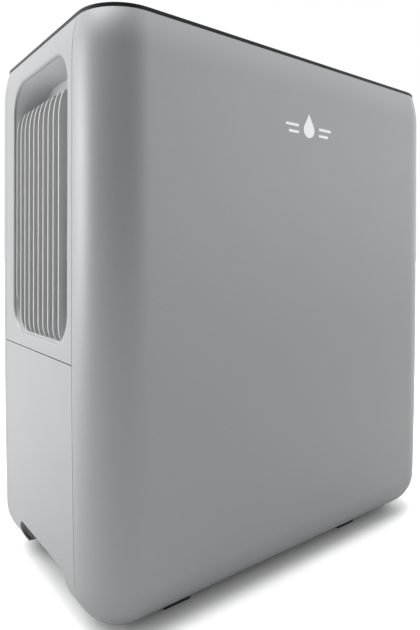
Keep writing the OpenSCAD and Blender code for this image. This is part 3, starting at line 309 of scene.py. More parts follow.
nodeFinish = {
    "front_shell": "shell", "back_shell": "shell", "left_panel": "panel", "right_panel": "panel",
    "outlet_grille": "grille", "intake_grille": "grille", "badge": "emblem", "base_pan": "base",
    "feet": "rubber", "shell_screws": "zinc", "chassis": "chassis", "chassis_screws": "zinc",
    "drain_spigot": "lid", "drain_cap": "frame", "cord_gland": "cord", "top_panel": "slate",
    "control_fascia": "black", "display_lens": "lens", "display_board": "board",
    "tactile_switches": "black", "power_button": "button", "mode_button": "button",
    "fan_button": "button", "humidity_up_button": "button", "humidity_down_button": "button",
    "filter_frame": "frame", "filter_mesh": "net", "tank_body": "tank", "tank_front": "panel",
    "tank_lid": "lid", "float_pin": "steel", "float_arm": "white", "float_magnet": "steel",
    "reed_sensor": "cord", "drip_tray": "chassis", "coil_end_plates": "zinc",
    "evaporator_fins": "fins", "evaporator_tubes": "copper", "condenser_fins": "fins",
    "condenser_tubes": "copper", "fan_shroud": "fan", "motor_bracket": "zinc", "fan_motor": "zinc",
    "motor_bearings": "bronze", "motor_shaft": "steel", "impeller": "fan", "impeller_nut": "bronze",
    "compressor": "enamel", "compressor_pump": "zinc", "accumulator": "enamel",
    "compressor_grommets": "rubber", "compressor_bolts": "zinc", "suction_pipe": "copper",
    "discharge_pipe": "copper", "liquid_line": "copper", "filter_drier": "copper",
    "control_box": "frame", "main_board": "board", "run_capacitor": "tan", "humidity_sensor": "lid",
}
for nodeName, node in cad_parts.items():
    node.data.materials.clear()
    node.data.materials.append(finish[nodeFinish[nodeName]])
print("materials made:", len(finish))

# A sheet is drawn flat: along the wall, and up it by its own surface. The wall's roll
# under the cabinet and its slight lean turn that height into a place.

cabinet = {
    "cornerRadius": 45 * mm, "underRadius": 42 * mm, "foot": 5 * mm,
    "lowLean": 4.1 * mm, "lowLeanHeight": 272 * mm, "topLean": 5.7 * mm, "topLeanHeight": 35 * mm,
    "wall": 3 * mm, "partingGap": 0.4 * mm, "cornerSteps": 24, "flange": 3.2 * mm,
    "drainHole": 14 * mm, "glandHole": 8.2 * mm, "holeMargin": 2.5 * mm, "rowBand": 12 * mm,
}
halfW, halfD = cadHigh.x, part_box("front_shell")[0].y * -1
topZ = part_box("top_panel")[1].z
wallTop = topZ - cabinet["flange"]
bodyH = topZ - cabinet["foot"]
flatX, flatY = halfW - cabinet["cornerRadius"], halfD - cabinet["cornerRadius"]
bodyCentre = Vector((0, 0, 0.25))
rollTop = cabinet["foot"] + cabinet["underRadius"]
rollEnd = rollTop - cabinet["underRadius"] * math.acos(
    1 - (cabinet["cornerRadius"] - cabinet["lowLean"] - 10 * mm) / cabinet["underRadius"])


def lean(z):
    h = z - cabinet["foot"]
    low, top = cabinet["lowLeanHeight"], bodyH - cabinet["topLeanHeight"]
    inset = cabinet["lowLean"] * (1 - h / low) ** 2 if h < low else 0
    return inset + (cabinet["topLean"] * ((h - top) / cabinet["topLeanHeight"]) ** 2 if h > top else 0)


def wallPoint(v):  # height along the surface to inset and height
    if v >= rollTop:
        return lean(v), v
    turn = (rollTop - v) / cabinet["underRadius"]
    z = rollTop - cabinet["underRadius"] * math.sin(turn)
    return lean(z) + cabinet["underRadius"] * (1 - math.cos(turn)), z


def surfaceHeight(z):  # height along the surface of a place on the wall
    return z if z >= rollTop else rollTop - cabinet["underRadius"] * math.asin(
        (rollTop - z) / cabinet["underRadius"])


wallRows = [rollEnd + (rollTop - rollEnd) * i / 18 for i in range(18)]
wallRows += [rollTop + (0.277 - rollTop) * i / 10 for i in range(11)]
wallRows += [topZ - cabinet["topLeanHeight"] + (cabinet["topLeanHeight"] - cabinet["flange"]) * i / 9
             for i in range(10)]


def wideShell(y):  # a wide face with its two corners, turned from one upright line
    bm = bmesh.new()
    line = []
    for v in wallRows:
        inset, z = wallPoint(v)
        line.append(bm.verts.new((-halfW + inset, y * flatY, z)))
    edges = [bm.edges.new(pair) for pair in zip(line, line[1:])]
    steps, quarter = cabinet["cornerSteps"], math.pi / 2
    end = bmesh.ops.spin(bm, geom=line + edges, cent=(-flatX, y * flatY, 0), axis=(0, 0, -y),
                         angle=quarter, steps=steps, use_duplicate=False)["geom_last"]
    end = bmesh.ops.extrude_edge_only(bm, edges=edgesIn(end))["geom"]
    bmesh.ops.translate(bm, vec=(2 * flatX, 0, 0), verts=vertsIn(end))
    last = [g for g in end if isinstance(g, (bmesh.types.BMVert, bmesh.types.BMEdge))]
    bmesh.ops.spin(bm, geom=last, cent=(flatX, y * flatY, 0), axis=(0, 0, -y),
                   angle=quarter, steps=steps, use_duplicate=False)
    weld(bm)
    faceOut(bm, bodyCentre)
    return bm


def roundHole(bm, node, radius):  # through the flat back face, around a part that passes it
    low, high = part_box(node)
    x, z, reach = (low.x + high.x) / 2, (low.z + high.z) / 2, radius + cabinet["holeMargin"]

    def near(face, acrossReach, upReach):
        centre = face.calc_center_median()
        return abs(centre.x - x) < acrossReach and abs(centre.z - z) < upReach

    for axis, middle, acrossReach in ((0, x, 1), (2, z, reach)):
        for end in (-1, 1):
            place, normal = Vector(), Vector()
            place[axis], normal[axis] = middle + end * reach, 1
            faces = [f for f in bm.faces if near(f, acrossReach, reach + cabinet["rowBand"])
                     and abs(f.calc_center_median().x) < flatX]
            parts = {e for f in faces for e in f.edges} | {v for f in faces for v in f.verts}
            bmesh.ops.bisect_plane(bm, geom=faces + list(parts), plane_co=place, plane_no=normal)
    inside = [f for f in bm.faces if near(f, reach, reach)]
    bmesh.ops.delete(bm, geom=inside, context="FACES")
    loop = [e for e in bm.edges if e.is_boundary and all(
        abs(v.co.x - x) < reach + mm and abs(v.co.z - z) < reach + mm for v in e.verts)]
    ring = bmesh.ops.create_circle(bm, segments=48, radius=radius)["verts"]
    for v in ring:
        v.co = (x + v.co.x, halfD - lean(z + v.co.y), z + v.co.y)
    loop += list({e for v in ring for e in v.link_edges})
    bmesh.ops.triangle_fill(bm, edges=loop, use_beauty=True)
    faceOut(bm, bodyCentre)


addPiece(wideShell(-1), "front_cover", "cabinet", finish["shell"],
         ["front_shell"], wall=cabinet["wall"], bevel=0.3 * mm)
backSheet = wideShell(1)
roundHole(backSheet, "drain_cap", cabinet["drainHole"])
roundHole(backSheet, "cord_gland", cabinet["glandHole"])
addPiece(backSheet, "back_cover", "cabinet", finish["shell"],
         ["back_shell"], wall=cabinet["wall"], bevel=0.3 * mm)
print("wide shells made")

opening = {
    "y": (-73 * mm, 60 * mm), "z": (233 * mm, 473.6 * mm), "radius": 27 * mm, "lip": 2.6 * mm,
    "depth": 31 * mm, "shelf": 447.6 * mm, "shelfThickness": 2.4 * mm, "wall": 2 * mm,
    "arcSteps": 10,
}
seam = {"low": 219.1 * mm, "high": 219.8 * mm}
archCut = {"top": 46.5 * mm, "radius": 11 * mm, "width": 114 * mm, "middle": -6.5 * mm, "bottom": 20 * mm}


def roundedLoop(bm, low, high, radius, steps):  # an upright loop in the plane x = 0
    corners = [bm.verts.new((0, y, z)) for y, z in
               ((low[0], low[1]), (high[0], low[1]), (high[0], high[1]), (low[0], high[1]))]
    bm.faces.new(corners)
    bmesh.ops.bevel(bm, geom=corners, offset=radius, offset_type="OFFSET", segments=steps,
                    profile=0.5, affect="VERTICES", material=-1)
    bm.faces.ensure_lookup_table()
    face = bm.faces[-1]
    loop = list(face.edges)
    bmesh.ops.delete(bm, geom=[face], context="FACES_ONLY")
    return loop


def drapeSheet(bm, side):  # cuts a flat sheet into the wall's rows and lays it on the wall
    for v in wallRows[1:-1]:
        everything = list(bm.verts) + list(bm.edges) + list(bm.faces)
        bmesh.ops.bisect_plane(bm, geom=everything, plane_co=(0, 0, v), plane_no=(0, 0, 1))
    for vert in bm.verts:
        inset, z = wallPoint(vert.co.z)
        vert.co = (side * (halfW - inset), vert.co.y, z)


def intoOpening(co):  # direction from the opening's edge towards its middle
    r = opening["radius"]
    core = Vector((co.x, min(max(co.y, opening["y"][0] + r), opening["y"][1] - r),
                   min(max(co.z, opening["z"][0] + r), opening["z"][1] - r)))
    return (core - co).normalized()


def sidePanel(side, low):  # flat sheet with the opening, then its soft lip
    bm = bmesh.new()
    edgeY, lip = flatY - cabinet["partingGap"], opening["lip"]
    ring = [bm.verts.new((0, y, z)) for y, z in
            ((-edgeY, low), (edgeY, low), (edgeY, wallTop), (-edgeY, wallTop))]
    edges = [bm.edges.new((ring[i], ring[(i + 1) % 4])) for i in range(4)]
    edges += roundedLoop(bm, (opening["y"][0] - lip, opening["z"][0] - lip),
                         (opening["y"][1] + lip, opening["z"][1] + lip),
                         opening["radius"] + lip, opening["arcSteps"])
    bmesh.ops.triangle_fill(bm, use_beauty=True, use_dissolve=False, edges=edges, normal=(1, 0, 0))
    drapeSheet(bm, side)
    rim = [e for e in bm.edges if len(e.link_faces) == 1 and all(
        opening["y"][0] - 2 * lip < v.co.y < opening["y"][1] + 2 * lip
        and opening["z"][0] - 2 * lip < v.co.z < opening["z"][1] + 2 * lip for v in e.verts)]
    for step in range(1, 6):
        turn = math.pi / 2 * step / 5
        made = bmesh.ops.extrude_edge_only(bm, edges=rim)["geom"]
        rim = edgesIn(made)
        back = math.pi / 2 * (step - 1) / 5
        for vert in vertsIn(made):
            vert.co += intoOpening(vert.co) * lip * (math.sin(turn) - math.sin(back))
            vert.co.x -= side * lip * (math.cos(back) - math.cos(turn))
    faceOut(bm, bodyCentre)
    return bm


def recessTub(side):  # the lining that runs in from the lip
    bm = bmesh.new()
    rim = roundedLoop(bm, (opening["y"][0], opening["z"][0]), (opening["y"][1], opening["z"][1]),
                      opening["radius"], opening["arcSteps"])
    for vert in bm.verts:
        vert.co.x = side * (halfW - opening["lip"] - lean(vert.co.z) + 0.01 * mm)
    made = bmesh.ops.extrude_edge_only(bm, edges=rim)["geom"]
    for vert in vertsIn(made):
        vert.co.x = side * (halfW - opening["depth"])
    middle = Vector((0, sum(opening["y"]) / 2, sum(opening["z"]) / 2))
    bmesh.ops.recalc_face_normals(bm, faces=bm.faces)
    if sum((f.calc_center_median() - middle).dot(f.normal) for f in bm.faces if abs(f.normal.y) > 0.7) > 0:
        bmesh.ops.reverse_faces(bm, faces=bm.faces)
    return bm


def recessBack(side):  # back wall of the hand recess
    bm = bmesh.new()
    x = side * (halfW - opening["depth"])
    low = opening["shelf"] - opening["shelfThickness"]
    corners = [bm.verts.new((x, y, z)) for y, z in
               ((opening["y"][0], low), (opening["y"][1], low),
                (opening["y"][1], opening["z"][1]), (opening["y"][0], opening["z"][1]))]
    bm.faces.new(corners)
    bmesh.ops.bevel(bm, geom=corners[2:], offset=opening["radius"], offset_type="OFFSET",
                    segments=opening["arcSteps"], profile=0.5, affect="VERTICES", material=-1)
    grown = bmesh.ops.extrude_face_region(bm, geom=list(bm.faces))["geom"]
    bmesh.ops.translate(bm, vec=(-side * opening["wall"], 0, 0),
                        verts=vertsIn(grown))
    bmesh.ops.recalc_face_normals(bm, faces=bm.faces)
    return bm


for side, name, low in ((-1, "left", seam["high"]), (1, "right", rollEnd)):
    addPiece(sidePanel(side, low), name + "_side", "cabinet", finish["panel"],
             [name + "_panel"], wall=opening["wall"], bevel=0.3 * mm)
    addPiece(recessTub(side), name + "_recess_lining", "cabinet", finish["lining"],
             wall=opening["wall"], bevel=0.1 * mm)
    addPiece(recessBack(side), name + "_recess_back", "cabinet", finish["lining"],
             bevel=0.2 * mm)


def tankFront():
    bm = bmesh.new()
    edgeY, arch = flatY - cabinet["partingGap"], archCut
    y0, y1 = arch["middle"] - arch["width"] / 2, arch["middle"] + arch["width"] / 2
    low, top = surfaceHeight(arch["bottom"]), surfaceHeight(arch["top"])
    points = [(-edgeY, low), (y0, low), (y0, top), (y1, top), (y1, low), (edgeY, low),
              (edgeY, seam["low"]), (-edgeY, seam["low"])]
    ring = [bm.verts.new((0, y, z)) for y, z in points]
    bm.faces.new(ring)
    bmesh.ops.bevel(bm, geom=ring[2:4], offset=arch["radius"], offset_type="OFFSET", segments=8,
                    profile=0.5, affect="VERTICES", material=-1)
    drapeSheet(bm, -1)
    faceOut(bm, bodyCentre)
    return bm


def gripRibs():  # the cut-out's end walls and the posts that hold the tank body
    bm = bmesh.new()
    thick, deep = tankRib["thickness"], tankRib["depth"]
    for y in (archCut["middle"] - archCut["width"] / 2 - thick, archCut["middle"] + archCut["width"] / 2):
        low, high = surfaceHeight(archCut["bottom"]), surfaceHeight(archCut["top"] + thick)
        wallLine = [wallPoint(low + (high - low) * i / 12) for i in range(13)]
        shape = [(-halfW + inset + tankRib["skin"], z) for inset, z in wallLine]
        shape += [(-halfW + inset + deep, z) for inset, z in reversed(wallLine)]
        part = bmesh.new()
        plate(part, [(x, y, z) for x, z in shape], (0, thick, 0))
        join(bm, part)
    for y, z in [(y, z) for y in tankRib["postYs"] for z in tankRib["postZs"]]:
        start = -halfW + lean(z) + tankRib["skin"]
        part = bmesh.new()
        reach = tankBack - start
        turned(part, [(0, 0), (tankRib["post"], 0), (tankRib["post"], reach), (0, reach)],
               (start, y, z), "X", 24)
        join(bm, part)
    return bm


tankRib = {"thickness": 3 * mm, "depth": 24 * mm, "post": 6 * mm, "skin": cabinet["wall"] * 0.6,
           "postYs": (-60 * mm, 60 * mm), "postZs": (72 * mm, 190 * mm)}
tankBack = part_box("tank_body")[0].x
addPiece(tankFront(), "tank_face", "water_tank", finish["panel"], ["tank_front"],
         wall=cabinet["wall"], bevel=0.3 * mm)
addPiece(gripRibs(), "tank_grip_ribs", "water_tank", finish["panel"], bevel=0.2 * mm)
print("side panels and tank front made")

topPanel = {"edge": 0.8 * mm, "pocket": 6.3 * mm, "gap": 0.3 * mm}
fasciaLow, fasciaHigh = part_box("control_fascia")


def topCover():
    bm = bmesh.new()
    inset = lean(wallTop)
    z = wallTop
    loops = []
    for low, high, radius in (
            ((-halfW + inset, -halfD + inset), (halfW - inset, halfD - inset),
             cabinet["cornerRadius"] - inset),
            ((fasciaLow.x - topPanel["gap"], fasciaLow.y - topPanel["gap"]),
             (fasciaHigh.x + topPanel["gap"], fasciaHigh.y + topPanel["gap"]), topPanel["pocket"])):
        corners = [bm.verts.new((x, y, z)) for x, y in
                   ((low[0], low[1]), (high[0], low[1]), (high[0], high[1]), (low[0], high[1]))]
        bm.faces.new(corners)
        bmesh.ops.bevel(bm, geom=corners, offset=radius, offset_type="OFFSET", segments=16,
                        profile=0.5, affect="VERTICES", material=-1)
        bm.faces.ensure_lookup_table()
        loops += list(bm.faces[-1].edges)
        bmesh.ops.delete(bm, geom=[bm.faces[-1]], context="FACES_ONLY")
    bmesh.ops.triangle_fill(bm, use_beauty=True, use_dissolve=False, edges=loops, normal=(0, 0, 1))
    grown = bmesh.ops.extrude_face_region(bm, geom=list(bm.faces))["geom"]
    bmesh.ops.translate(bm, vec=(0, 0, cabinet["flange"]),
                        verts=vertsIn(grown))
    bmesh.ops.recalc_face_normals(bm, faces=bm.faces)
    return bm


addPiece(topCover(), "top_cover", "cabinet", finish["slate"], ["top_panel"],
         bevel=topPanel["edge"], steps=3)

grille = {
    "count": 10, "pitch": 12.05 * mm, "thickness": 2.4 * mm, "setBack": 2.5 * mm, "depth": 12.5 * mm,
    "first": 58.3 * mm, "curveIn": 7 * mm, "curveHeight": 26 * mm, "soft": 0.35 * mm, "clear": 0.6 * mm,
    "bars": (303 * mm, 373 * mm), "barHeight": 4 * mm, "ring": 3 * mm, "footIn": 4 * mm,
    "footHeight": 12 * mm,
}


def slatHeight(y):  # where the opening's rounded corner meets a slat
    r, clear = opening["radius"], grille["clear"]
    low, high = opening["y"][0] + r, opening["y"][1] - r
    off = max(low - y, y - high, 0)
    reach = math.sqrt(max((r - clear) ** 2 - off ** 2, 0))
    return opening["z"][0] + r - reach


def slats(side):
    bm = bmesh.new()
    front, back = halfW - grille["setBack"], halfW - grille["setBack"] - grille["depth"]
    top = opening["shelf"]
    for i in range(grille["count"]):
        y = grille["first"] - i * grille["pitch"]
        low = max(slatHeight(y - grille["thickness"] / 2), slatHeight(y + grille["thickness"] / 2))
        curve = [(front - grille["curveIn"] * (1 - math.cos(a)),
                  top - grille["curveHeight"] * (1 - math.sin(a)))
                 for a in [math.radians(d) for d in range(0, 91, 9)]]
        heel = [(front - grille["footIn"] * (1 - math.sin(a)),
                 low + grille["footHeight"] * (1 - math.cos(a)))
                for a in [math.radians(d) for d in range(0, 91, 15)]]
        shape = [(back, low)] + heel + curve + [(back, top)]
        piece = bmesh.new()
        plate(piece, [(side * x, y - grille["thickness"] / 2, z) for x, z in shape],
              (0, grille["thickness"], 0))
        long = [e for e in piece.edges if len(e.link_faces) == 2
                and abs(e.verts[0].co.y - e.verts[1].co.y) < 0.0001]
        bmesh.ops.bevel(piece, geom=long, offset=grille["soft"], offset_type="OFFSET", segments=2,
                        profile=0.5, affect="EDGES", material=-1)
        join(bm, piece)
    return bm


def grilleFrame(side):  # ring behind the slats, cross bars and the shelf above them
    bm = bmesh.new()
    back, clear = halfW - grille["setBack"] - grille["depth"], grille["clear"]
    low, high = opening["y"][0] + clear, opening["y"][1] - clear
    for inset in (0, grille["ring"]):
        radius = opening["radius"] - clear - inset
        corners = [bm.verts.new((side * back, y, z)) for y, z in
                   ((low + inset, opening["z"][0] + clear + inset),
                    (high - inset, opening["z"][0] + clear + inset),
                    (high - inset, opening["shelf"]), (low + inset, opening["shelf"]))]
        bm.faces.new(corners)
        bmesh.ops.bevel(bm, geom=corners[:2], offset=radius, offset_type="OFFSET", segments=8,
                        profile=0.5, affect="VERTICES", material=-1)
        bm.faces.ensure_lookup_table()
        bmesh.ops.delete(bm, geom=[bm.faces[-1]], context="FACES_ONLY")
    bmesh.ops.triangle_fill(bm, use_beauty=True, use_dissolve=False, edges=list(bm.edges), normal=(1, 0, 0))
    for z in grille["bars"]:
        top = z + grille["barHeight"]
        outline(bm, [(side * back, a, b) for a, b in ((low, z), (high, z), (high, top), (low, top))])
    grown = bmesh.ops.extrude_face_region(bm, geom=list(bm.faces))["geom"]
    bmesh.ops.translate(bm, vec=(side * grille["ring"], 0, 0),
                        verts=vertsIn(grown))
    tub, front = halfW - opening["depth"] + clear, halfW - grille["setBack"] - grille["curveIn"]
    plate(bm, [(side * x, y, opening["shelf"] - opening["shelfThickness"]) for x, y in
               ((tub, low), (front, low), (front, high), (tub, high))], (0, 0, opening["shelfThickness"]))
    bmesh.ops.recalc_face_normals(bm, faces=bm.faces)
    return bm


for side, body, node in ((-1, "filter_cassette", "intake_grille"), (1, "cabinet", "outlet_grille")):
    addPiece(slats(side), node + "_slats", body, finish["grille"], [node])
    addPiece(grilleFrame(side), node + "_frame", body, finish["grille"], bevel=0.3 * mm)
print("grilles made")

emblem = {
    "place": (2.5 * mm, 429 * mm), "rise": 0.25 * mm, "thickness": 0.8 * mm, "drop": 7.6 * mm,
    "tip": 15.5 * mm,
    "bars": ((23 * mm, 2.6 * mm, 18 * mm), (21 * mm, -3.8 * mm, 14 * mm)), "barHeight": 2.6 * mm,
}


def waterDrop(bm, centre, radius, tip, height):
    part = bmesh.new()
    bmesh.ops.create_circle(part, cap_ends=False, radius=radius, segments=56)
    reach = radius * radius / tip
    bmesh.ops.bisect_plane(part, geom=list(part.verts) + list(part.edges), plane_co=(0, reach, 0),
                           plane_no=(0, 1, 0), clear_outer=True)
    ends = [v for v in part.verts if len(v.link_edges) == 1]
    point = part.verts.new((0, tip, 0))
    for end in ends:
        part.edges.new((end, point))
    bmesh.ops.edgeloop_fill(part, edges=list(part.edges))
    pushUp(part, height)
    bmesh.ops.translate(part, vec=centre, verts=part.verts)
    join(bm, part)


def emblemPlate():
    bm = bmesh.new()
    waterDrop(bm, (0, 0, 0), emblem["drop"], emblem["tip"], emblem["thickness"])
    for x, y, width in emblem["bars"]:
        for side in (-1, 1):
            roundPlate(bm, (side * x, y, 0), (width, emblem["barHeight"]), emblem["barHeight"] * 0.499,
                       emblem["thickness"])
    bmesh.ops.rotate(bm, cent=(0, 0, 0), matrix=Matrix.Rotation(math.pi / 2, 3, "X"), verts=bm.verts)
    depth = -halfD - emblem["rise"] + emblem["thickness"]
    bmesh.ops.translate(bm, vec=(emblem["place"][0], depth, emblem["place"][1]), verts=bm.verts)
    return bm


addPiece(emblemPlate(), "emblem", "cabinet", finish["emblem"], ["badge"], bevel=0.1 * mm)

foot = {"xs": (-127 * mm, 103.5 * mm), "front": 94.5 * mm, "width": 24 * mm, "length": 33 * mm,
        "chamfer": 3.5 * mm, "height": 5 * mm, "pad": 2.2 * mm, "padDepth": 0.5 * mm}


def rubberFeet():
    bm = bmesh.new()
    top, sole = foot["length"] / 2, foot["length"] / 2 - foot["chamfer"]
    for x in foot["xs"]:
        for side in (-1, 1):
            part = bmesh.new()
            start = side * foot["front"]
            plate(part, [(x - sole, start, 0), (x + sole, start, 0), (x + top, start, foot["height"]),
                         (x - top, start, foot["height"])], (0, -side * foot["width"], 0))
            bmesh.ops.bevel(part, geom=list(part.edges), offset=0.5 * mm, offset_type="OFFSET", segments=3,
                            profile=0.5, affect="EDGES", material=-1)
            faceOut(part, Vector((x, start - side * foot["width"] / 2, foot["height"] / 2)))
            under = [f for f in part.faces if f.calc_center_median().z < 0.01 * mm]
            bmesh.ops.inset_region(part, faces=under, thickness=foot["pad"], depth=0, use_even_offset=True)
            bmesh.ops.inset_region(part, faces=under, thickness=0.4 * mm, depth=-foot["padDepth"])
            join(bm, part)
    return bm


addPiece(rubberFeet(), "rubber_feet", "cabinet", finish["rubber"], ["feet"])

button = {"radius": 7 * mm, "dish": 0.45 * mm, "edge": 0.6 * mm, "flange": 1.5 * mm, "markRise": 0.06 * mm,
          "markDepth": 0.5 * mm, "line": 0.7 * mm}
buttonMarks = {"power": "power", "mode": "drop", "fan": "fan", "humidity_up": "up", "humidity_down": "down"}


def keyCap(low, high):
    bm = bmesh.new()
    r, edge = button["radius"], button["edge"]
    tall = high.z - low.z
    skirt = (high.x - low.x) / 2
    rim = [(r - edge + edge * math.sin(a), tall - edge + edge * math.cos(a))
           for a in [math.radians(d) for d in range(0, 91, 15)]]
    dish = [(r * 0.82 * i / 8, tall - button["dish"] * (1 - (i / 8) ** 2)) for i in range(9)]
    turned(bm, dish + rim + [(r, 1.2 * mm), (skirt, 1.2 * mm), (skirt, 0), (0, 0)],
           ((low.x + high.x) / 2, (low.y + high.y) / 2, low.z), "Z", 56)
    return bm


def keyMark(kind, centre):
    bm = bmesh.new()
    line, thick = button["line"], button["markDepth"]
    x, y, z = centre
    if kind == "power":
        flatRing(bm, centre, 2.4 * mm, 2.4 * mm - line, thick, math.radians(70))
        roundPlate(bm, (x, y + 1.5 * mm, z), (line, 2.6 * mm), line * 0.45, thick, 4)
    elif kind == "drop":
        waterDrop(bm, (x, y - 0.7 * mm, z), 1.6 * mm, 3.4 * mm, thick)
    elif kind == "fan":
        flatRing(bm, centre, 0.9 * mm, 0.35 * mm, thick)
        for i in range(3):
            turn = math.radians(90 + 120 * i)
            roundPlate(bm, (x + 1.9 * mm * math.cos(turn), y + 1.9 * mm * math.sin(turn), z),
                       (1.7 * mm, 1.1 * mm), 0.5 * mm, thick, 4, turn)
    else:
        up = 1 if kind == "up" else -1
        for side in (-1, 1):
            roundPlate(bm, (x + side * 1.1 * mm, y + up * 0.2 * mm, z), (3.4 * mm, line), line * 0.45,
                       thick, 4, -side * up * math.radians(40))
    return bm


for name, kind in buttonMarks.items():
    low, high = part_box(name + "_button")
    middle = ((low.x + high.x) / 2, (low.y + high.y) / 2,
              high.z - button["dish"] - button["markDepth"] + button["markRise"] + 0.08 * mm)
    addPiece(keyCap(low, high), name + "_cap", name + "_key", finish["button"],
             [name + "_button"])
    addPiece(keyMark(kind, middle), name + "_mark", name + "_key", finish["emblem"],
             smooth=0)

display = {"digit": (5.2 * mm, 9.6 * mm), "line": 0.95 * mm, "gap": 0.25 * mm, "pitch": 9.5 * mm,
           "rise": 0.04 * mm, "thickness": 0.2 * mm, "window": 2.8 * mm,
           "show": ("acdfg", "abcdef")}  # the lit bars of each digit, named as on any such display


def displayDigits(centre):
    bm = bmesh.new()
    w, h = display["digit"]
    line, gap = display["line"], display["gap"]
    bars = {"a": (0, h / 2, 0), "g": (0, 0, 0), "d": (0, -h / 2, 0), "f": (-w / 2, h / 4, 1),
            "b": (w / 2, h / 4, 1), "e": (-w / 2, -h / 4, 1), "c": (w / 2, -h / 4, 1)}
    for place, lit in enumerate(display["show"]):
        for bar in lit:
            x, y, upright = bars[bar]
            size = (line, h / 2 - line / 2 - gap) if upright else (w - line / 2 - gap, line)
            roundPlate(bm, (centre[0] + (place - 0.5) * display["pitch"] + x, centre[1] + y, centre[2]),
                       size, line * 0.3, display["thickness"], 3)
    waterDrop(bm, (centre[0] + 1.6 * display["pitch"], centre[1] - 1.4 * mm, centre[2]), 1.6 * mm, 3.6 * mm,
              display["thickness"])
    flatRing(bm, (centre[0] - 1.6 * display["pitch"], centre[1], centre[2]), 2 * mm, 1.3 * mm,
             display["thickness"])
    return bm


low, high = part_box("display_lens")
lensPlate = bmesh.new()
roundPlate(lensPlate, ((low.x + high.x) / 2, (low.y + high.y) / 2, low.z),
           (high.x - low.x, high.y - low.y), display["window"], high.z - low.z)
addPiece(lensPlate, "display_window", "cabinet", finish["lens"], ["display_lens"],
         bevel=0.3 * mm)
addPiece(displayDigits(((low.x + high.x) / 2, (low.y + high.y) / 2,
                        high.z - display["thickness"] + display["rise"])),
         "display_digits", "cabinet", finish["glow"], smooth=0)
print("emblem, feet, keys and display made")

floorLook = {"seen": (0.98, 1.04), "towards": (-0.30, -0.95, 0), "dim": {
    "From Min": -0.25, "From Max": 0.45, "To Min": 0.75, "To Max": 0.40}, "reach": 30}
floorMaterial = bpy.data.materials.new("studio floor")
floorMaterial.use_nodes = True
floorTree = floorMaterial.node_tree
floorTree.nodes.clear()
bright, plain = (floorTree.nodes.new("ShaderNodeBsdfDiffuse") for _ in range(2))
floorTree.links.new(ramp(floorTree, grain(floorTree, 3, 2.0), *[grey(v) for v in floorLook["seen"]]),
                    bright.inputs["Color"])
floorPlace, floorTowards, floorDim = (floorTree.nodes.new(kind) for kind in (
    "ShaderNodeTexCoord", "ShaderNodeVectorMath", "ShaderNodeMapRange"))
floorTowards.operation = "DOT_PRODUCT"  # the floor throws back less light on the room's darker side
floorTowards.inputs[1].default_value = floorLook["towards"]
for socket, value in floorLook["dim"].items():
    floorDim.inputs[socket].default_value = value
floorTree.links.new(floorPlace.outputs["Object"], floorTowards.inputs[0])
floorTree.links.new(floorTowards.outputs["Value"], floorDim.inputs["Value"])
floorTree.links.new(floorDim.outputs["Result"], plain.inputs["Color"])
floorRay, floorPick, floorOut = (floorTree.nodes.new(kind) for kind in (
    "ShaderNodeLightPath", "ShaderNodeMixShader", "ShaderNodeOutputMaterial"))
floorTree.links.new(floorRay.outputs["Is Camera Ray"], floorPick.inputs["Fac"])
floorTree.links.new(plain.outputs[0], floorPick.inputs[1])
floorTree.links.new(bright.outputs[0], floorPick.inputs[2])
floorTree.links.new(floorPick.outputs[0], floorOut.inputs["Surface"])
floorMesh = bmesh.new()
bmesh.ops.create_grid(floorMesh, x_segments=1, y_segments=1, size=floorLook["reach"])
floorData = bpy.data.meshes.new("floor")
floorMesh.to_mesh(floorData)
floorMesh.free()
floorData.materials.append(floorMaterial)
floor = bpy.data.objects.new("floor", floorData)
bpy.context.scene.collection.objects.link(floor)
floor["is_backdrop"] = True

studio = {
    "sky": 1.62, "dim": 0.0, "dimTowards": (-0.68, -0.73, 0.0), "dimStart": 0.1, "dimEnd": 0.80,
    "left": 16, "leftPlace": (-2.1, 1.05, 0.70), "leftSize": (1.0, 1.2), "sun": 2.9, "sunSoft": 54,
    "sunTowards": (0.34, -0.04, -1.0),
}
world = bpy.data.worlds.new("studio")
bpy.context.scene.world = world
world.use_nodes = True
sky = world.node_tree
sky.nodes.clear()


def skyNode(kind, **values):
    node = sky.nodes.new(kind)
    for socket, value in values.items():
        node.inputs[socket.replace("_", " ")].default_value = value
    return node


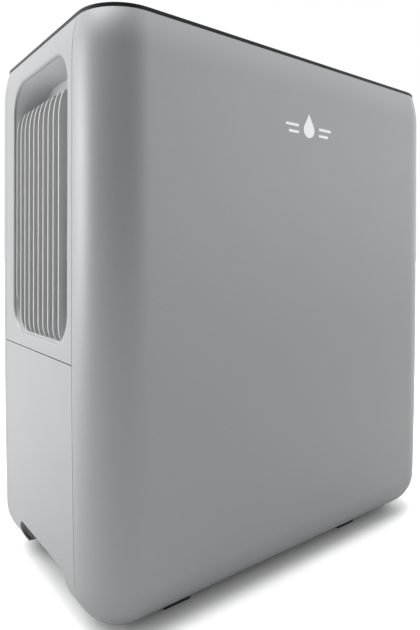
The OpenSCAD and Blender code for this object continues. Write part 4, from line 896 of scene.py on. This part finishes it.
direction = skyNode("ShaderNodeTexCoord")  # the room is darker on one side, so the corner reads
towards = skyNode("ShaderNodeVectorMath")
towards.operation = "DOT_PRODUCT"
towards.inputs[1].default_value = studio["dimTowards"]
sky.links.new(direction.outputs["Generated"], towards.inputs[0])
dimmer = skyNode("ShaderNodeMapRange", From_Min=studio["dimStart"], From_Max=studio["dimEnd"],
                 To_Min=studio["sky"], To_Max=studio["dim"])
dimmer.interpolation_type = "SMOOTHSTEP"
sky.links.new(towards.outputs["Value"], dimmer.inputs["Value"])
seen, soft = skyNode("ShaderNodeBackground"), skyNode("ShaderNodeBackground")
seen.inputs["Color"].default_value = grey(1)
soft.inputs["Color"].default_value = grey(1)
sky.links.new(dimmer.outputs["Result"], soft.inputs["Strength"])
ray, pick, out = (skyNode("ShaderNodeLightPath"), skyNode("ShaderNodeMixShader"),
                  skyNode("ShaderNodeOutputWorld"))
sky.links.new(ray.outputs["Is Camera Ray"], pick.inputs["Fac"])
sky.links.new(soft.outputs[0], pick.inputs[1])
sky.links.new(seen.outputs[0], pick.inputs[2])
sky.links.new(pick.outputs[0], out.inputs["Surface"])


def softLight(name, place, target, size, power):
    light = bpy.data.lights.new(name, "AREA")
    light.shape, light.size, light.size_y, light.energy = "RECTANGLE", size[0], size[1], power
    lamp = bpy.data.objects.new(name, light)
    lamp.location = place
    lamp.rotation_euler = (Vector(target) - Vector(place)).to_track_quat("-Z", "Y").to_euler()
    bpy.context.scene.collection.objects.link(lamp)


softLight("left box", studio["leftPlace"], (0, 0, 0.25), studio["leftSize"], studio["left"])
sun = bpy.data.lights.new("top sun", "SUN")
sun.energy, sun.angle = studio["sun"], math.radians(studio["sunSoft"])
sunLamp = bpy.data.objects.new("top sun", sun)
sunLamp.rotation_euler = Vector(studio["sunTowards"]).to_track_quat("-Z", "Y").to_euler()
bpy.context.scene.collection.objects.link(sunLamp)

view = {"place": (-0.3908, -0.4855, 0.3062), "turn": (37.3968, -0.1514, 0.16), "focal": 30.65,
        "sensor": 36, "shift": -0.091, "near": 0.01}
lens = bpy.data.cameras.new("camera")
lens.lens, lens.sensor_width, lens.shift_y = view["focal"], view["sensor"], view["shift"]
lens.clip_start = view["near"]
camera = bpy.data.objects.new("camera", lens)
bpy.context.scene.collection.objects.link(camera)
yaw, pitch, roll = (math.radians(angle) for angle in view["turn"])
camera.location = view["place"]
look = Vector((math.sin(yaw) * math.cos(pitch), math.cos(yaw) * math.cos(pitch), math.sin(pitch)))
rolled = look.to_track_quat("-Z", "Y") @ Matrix.Rotation(roll, 3, "Z").to_quaternion()
camera.rotation_euler = rolled.to_euler()
bpy.context.scene.camera = camera
bpy.context.scene.view_settings.view_transform = "Standard"
print("camera and lights set")

low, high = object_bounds()
